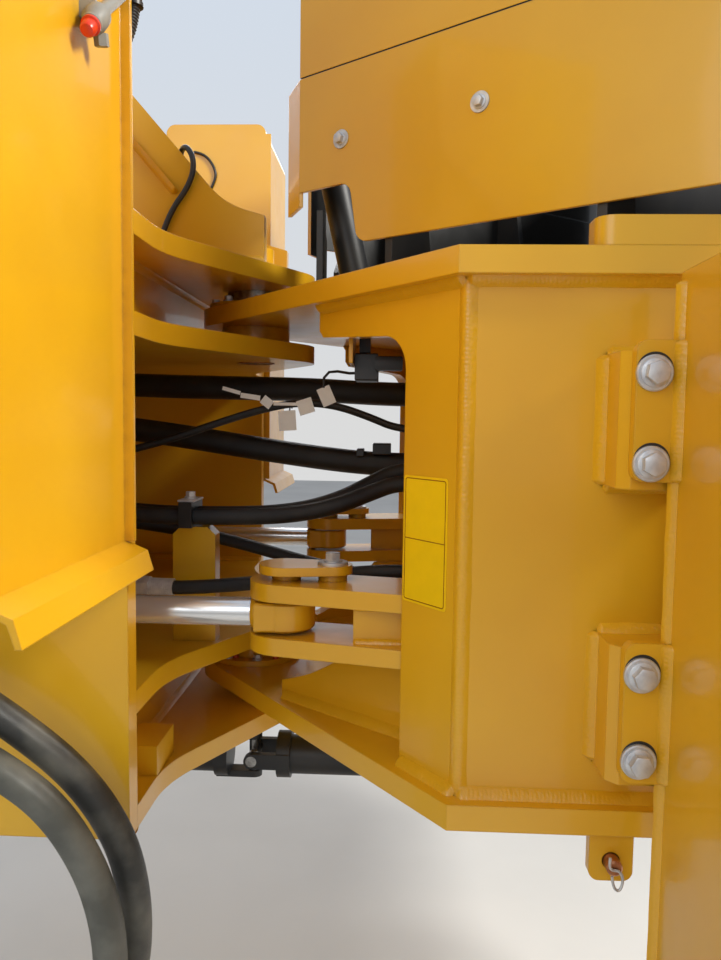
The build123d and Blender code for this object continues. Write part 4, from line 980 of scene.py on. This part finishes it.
# Front frame: the hose clamp's top, and the ring under the upper pin's plate
CLAMP_LID = 0.003
CLAMP_BOLT_Y = -0.220
clamp = Form()
clamp.box((CLAMP_X[0] - CLAMP_LID, CLAMP_X[1] + CLAMP_LID), CLAMP_Y,
          (CLAMP_Z[1], CLAMP_Z[1] + CLAMP_LID), edge=0.0006)
bolt(clamp, placed(at(sum(CLAMP_X) / 2, CLAMP_BOLT_Y, CLAMP_Z[1] + CLAMP_LID), Z), CLAMP_BOLT)
clamp.made("clamp_top", pale_zinc, "zinc_fittings", "front_frame")
ring = Form()
ring_outer, ring_inner = PIN_RADIUS + 0.001, PIN_RADIUS - 0.004
ring.lathe(placed(at(0, 0, FORK_LEVELS[2]), -Z), [
    (ring_outer, -0.001), (ring_outer, 0.001), (ring_inner, 0.001), (ring_inner - 0.001, -0.001)],
    sides=48)
ring.made("pin_ring", copper, "bare_steel", "front_frame")

# Lines on the tower, and the fender's line with its joint, cap and conduit: their radii, the
# control points of their routes, and turned profiles
CABLE_RADIUS = 0.0045
WIRE_RADIUS = 0.003
PIPE_RADIUS = 0.0065
CONDUIT_RADIUS = 0.0085
TOWER_CABLE = ((-0.112, -0.095, 0.850), (-0.108, -0.108, 0.882), (-0.100, -0.126, 0.897),
               (-0.086, -0.146, 0.895), (-0.074, -0.152, 0.876), (-0.074, -0.152, 0.852),
               (-0.086, -0.150, 0.826), (-0.106, -0.150, 0.800), (-0.122, -0.150, 0.766),
               (-0.128, -0.150, 0.740), (-0.128, -0.150, 0.716))
FAR_WIRE = ((-0.240, 0.492, 1.100), (-0.226, 0.492, 1.098), (-0.206, 0.492, 1.087),
            (-0.190, 0.492, 1.063), (-0.186, 0.492, 1.039), (-0.198, 0.492, 1.016))
FENDER_PIPE = ((-0.050, -0.622, 0.853), (-0.050, -0.600, 0.871), (-0.050, -0.560, 0.903),
               (-0.050, -0.520, 0.936), (-0.052, -0.494, 0.960), (-0.056, -0.482, 0.966),
               (-0.058, -0.480, 0.952))
CONDUIT = ((-0.058, -0.480, 0.962), (-0.058, -0.480, 0.945), (-0.061, -0.480, 0.925),
           (-0.066, -0.481, 0.905), (-0.080, -0.483, 0.880), (-0.105, -0.486, 0.860))
JOINT_PLACE = (-0.050, -0.606, 0.866)
JOINT_WAY = Vector((0, -0.72, -0.69))
JOINT = [(0.008, 0), (0.0125, 0.004), (0.0125, 0.020), (0.010, 0.024), (0.010, 0.030),
         (0.0075, 0.032)]
JOINT_CAP = [(0.0095, 0), (0.0095, 0.003), (0.0075, 0.004), (0.0075, 0.013), (0.006, 0.0155),
             (0.003, 0.0165)]
JOINT_CAP_AT = 0.031
DRAIN_PLACE = (-0.050, -0.604, 0.848)
DRAIN_WAY = Vector((0, 0.3, -1))
DRAIN = (0.013, 0.012)
FENDER_TAB = ((FENDER_X, -0.050), (-0.616, -0.596), (0.858, 0.876))
SLEEVE_PLACE = (-0.058, -0.480, 0.946)
SLEEVE = [(0.009, -0.014), (0.0105, -0.012), (0.0105, 0.004), (0.0115, 0.005), (0.0115, 0.009),
          (0.009, 0.010)]
tower_line = Form()
tower_line.smooth_tube(TOWER_CABLE, CABLE_RADIUS)
tower_line.smooth_tube(FAR_WIRE, WIRE_RADIUS)
tower_line.made("tower_line", plastic, "hose_rubber", "front_frame")
fender_line = Form()
fender_line.smooth_tube(FENDER_PIPE, PIPE_RADIUS)
fender_line.lathe(placed(at(*JOINT_PLACE), JOINT_WAY, X), JOINT, sides=28)
fender_line.hexagon(placed(at(*DRAIN_PLACE), DRAIN_WAY, X), *DRAIN)
fender_line.box(*FENDER_TAB, edge=0.001)
fender_line.made("fender_line", grey_line, "zinc_fittings", "front_frame")
cap = Form()
cap.lathe(placed(at(*JOINT_PLACE) + JOINT_WAY * JOINT_CAP_AT, JOINT_WAY, X), JOINT_CAP, sides=28)
cap.made("fender_line_cap", cap_red, "dark_paint", "front_frame")
conduit = Form()
conduit.smooth_tube(CONDUIT, lambda i: CONDUIT_RADIUS + 0.0008 * (i % 2), sides=20)
conduit.lathe(placed(at(*SLEEVE_PLACE), -Z), SLEEVE, sides=28)
conduit.made("fender_conduit", plastic, "hose_rubber", "front_frame")

# Beads on the outer faces of the arm tower's webs
TOWER_BEAD = ((-0.270, 1.020), (-0.100, 0.826))
TOWER_BEAD_DOWN = Vector((-0.75, 0, -0.66))
web_bead = Form()
for side in SIDES.values():
    start, end = (at(x, side * TOWER_Y[1], z) for x, z in TOWER_BEAD)
    web_bead.bead(start, end, Y * side, TOWER_BEAD_DOWN, leg=0.012, crown=0.002)
web_bead.made("weld_beads_tower", weld_paint, "machine_paint", "front_frame")


# Floor, light and camera

FLOOR = 14.0
FLOOR_Z = (-0.75, -0.76)
floor = Form()
corners = [(-FLOOR, -FLOOR), (FLOOR, -FLOOR), (FLOOR, FLOOR), (-FLOOR, FLOOR)]
floor.skin([[at(x, y, z) for x, y in corners] for z in FLOOR_Z])
floor_look, tree, shader = new_look("pale_floor", (0.62, 0.62, 0.61), 0.75)
tree.links.new(spread(tree, noise_on(tree, 1.5, 6.0), (0.58, 0.58, 0.57), (0.64, 0.64, 0.63)),
               shader.inputs["Base Color"])
floor_mesh = bpy.data.meshes.new("floor")
floor_mesh.from_pydata([tuple(p) for p in floor.points], [], floor.faces)
floor_mesh.materials.append(floor_look)
floor_piece = bpy.data.objects.new("floor", floor_mesh)
bpy.context.scene.collection.objects.link(floor_piece)


def lamp(name, place, aim, size, power, colour=(1, 1, 1)):
    """A round soft lamp at a place, turned to another."""
    data = bpy.data.lights.new(name, "AREA")
    data.shape = "DISK"
    data.size = size
    data.energy = power
    data.color = colour
    item = bpy.data.objects.new(name, data)
    bpy.context.scene.collection.objects.link(item)
    item.matrix_world = placed(at(*place), Vector(place) - Vector(aim))


lamp("key", (3.3, -1.35, 2.9), (0.0, -0.5, 0.3), size=1.2, power=210, colour=(1.0, 0.97, 0.90))
lamp("fill", (-0.9, -3.2, 1.8), (0.2, -0.3, 0.3), size=2.4, power=26, colour=(0.94, 0.97, 1.0))
lamp("back", (-0.5, 2.6, 2.6), (0.0, 0.0, 0.3), size=2.0, power=50)

world = bpy.data.worlds.new("studio")
bpy.context.scene.world = world
world.use_nodes = True
tree = world.node_tree
tree.nodes.clear()
up = add(tree, "SeparateXYZ")
tree.links.new(add(tree, "TexCoord").outputs["Generated"], up.inputs[0])
sky = add(tree, "ValToRGB")
sky.color_ramp.elements[0].position = 0.46
sky.color_ramp.elements[0].color = (0.72, 0.71, 0.69, 1)
sky.color_ramp.elements[1].position = 0.85
sky.color_ramp.elements[1].color = (0.62, 0.72, 0.86, 1)
tree.links.new(remapped(tree, up.outputs["Z"], 0.5, 1.0), sky.inputs[0])
shown = add(tree, "Background", Strength=1.0)
tree.links.new(sky.outputs[0], shown.inputs["Color"])
soft = add(tree, "Background", Strength=0.45)
soft.inputs["Color"].default_value = (0.92, 0.95, 1.0, 1)
rays = add(tree, "LightPath")
seen = rays.outputs["Is Camera Ray"]
for kind in ("Is Glossy Ray", "Is Transmission Ray"):
    either = add(tree, "Math", operation="MAXIMUM")
    tree.links.new(seen, either.inputs[0])
    tree.links.new(rays.outputs[kind], either.inputs[1])
    seen = either.outputs[0]
mixed = add(tree, "MixShader")
tree.links.new(seen, mixed.inputs[0])
tree.links.new(soft.outputs[0], mixed.inputs[1])
tree.links.new(shown.outputs[0], mixed.inputs[2])
tree.links.new(mixed.outputs[0], add(tree, "OutputWorld").inputs[0])

bpy.context.scene.view_settings.view_transform = "Standard"
camera_data = bpy.data.cameras.new("camera")
camera_data.sensor_fit = "VERTICAL"
camera_data.sensor_height = SENSOR
camera_data.lens = LENS
camera = bpy.data.objects.new("camera", camera_data)
bpy.context.scene.collection.objects.link(camera)
bpy.context.scene.camera = camera
look_way = Vector((-sin(CAMERA_YAW) * cos(CAMERA_PITCH), cos(CAMERA_YAW) * cos(CAMERA_PITCH),
                   -sin(CAMERA_PITCH)))
level = Vector((cos(CAMERA_YAW), sin(CAMERA_YAW), 0))
upward = level.cross(look_way)
right = level * cos(CAMERA_ROLL) + upward * sin(CAMERA_ROLL)
camera.matrix_world = placed(at(*CAMERA_PLACE), -look_way, right)
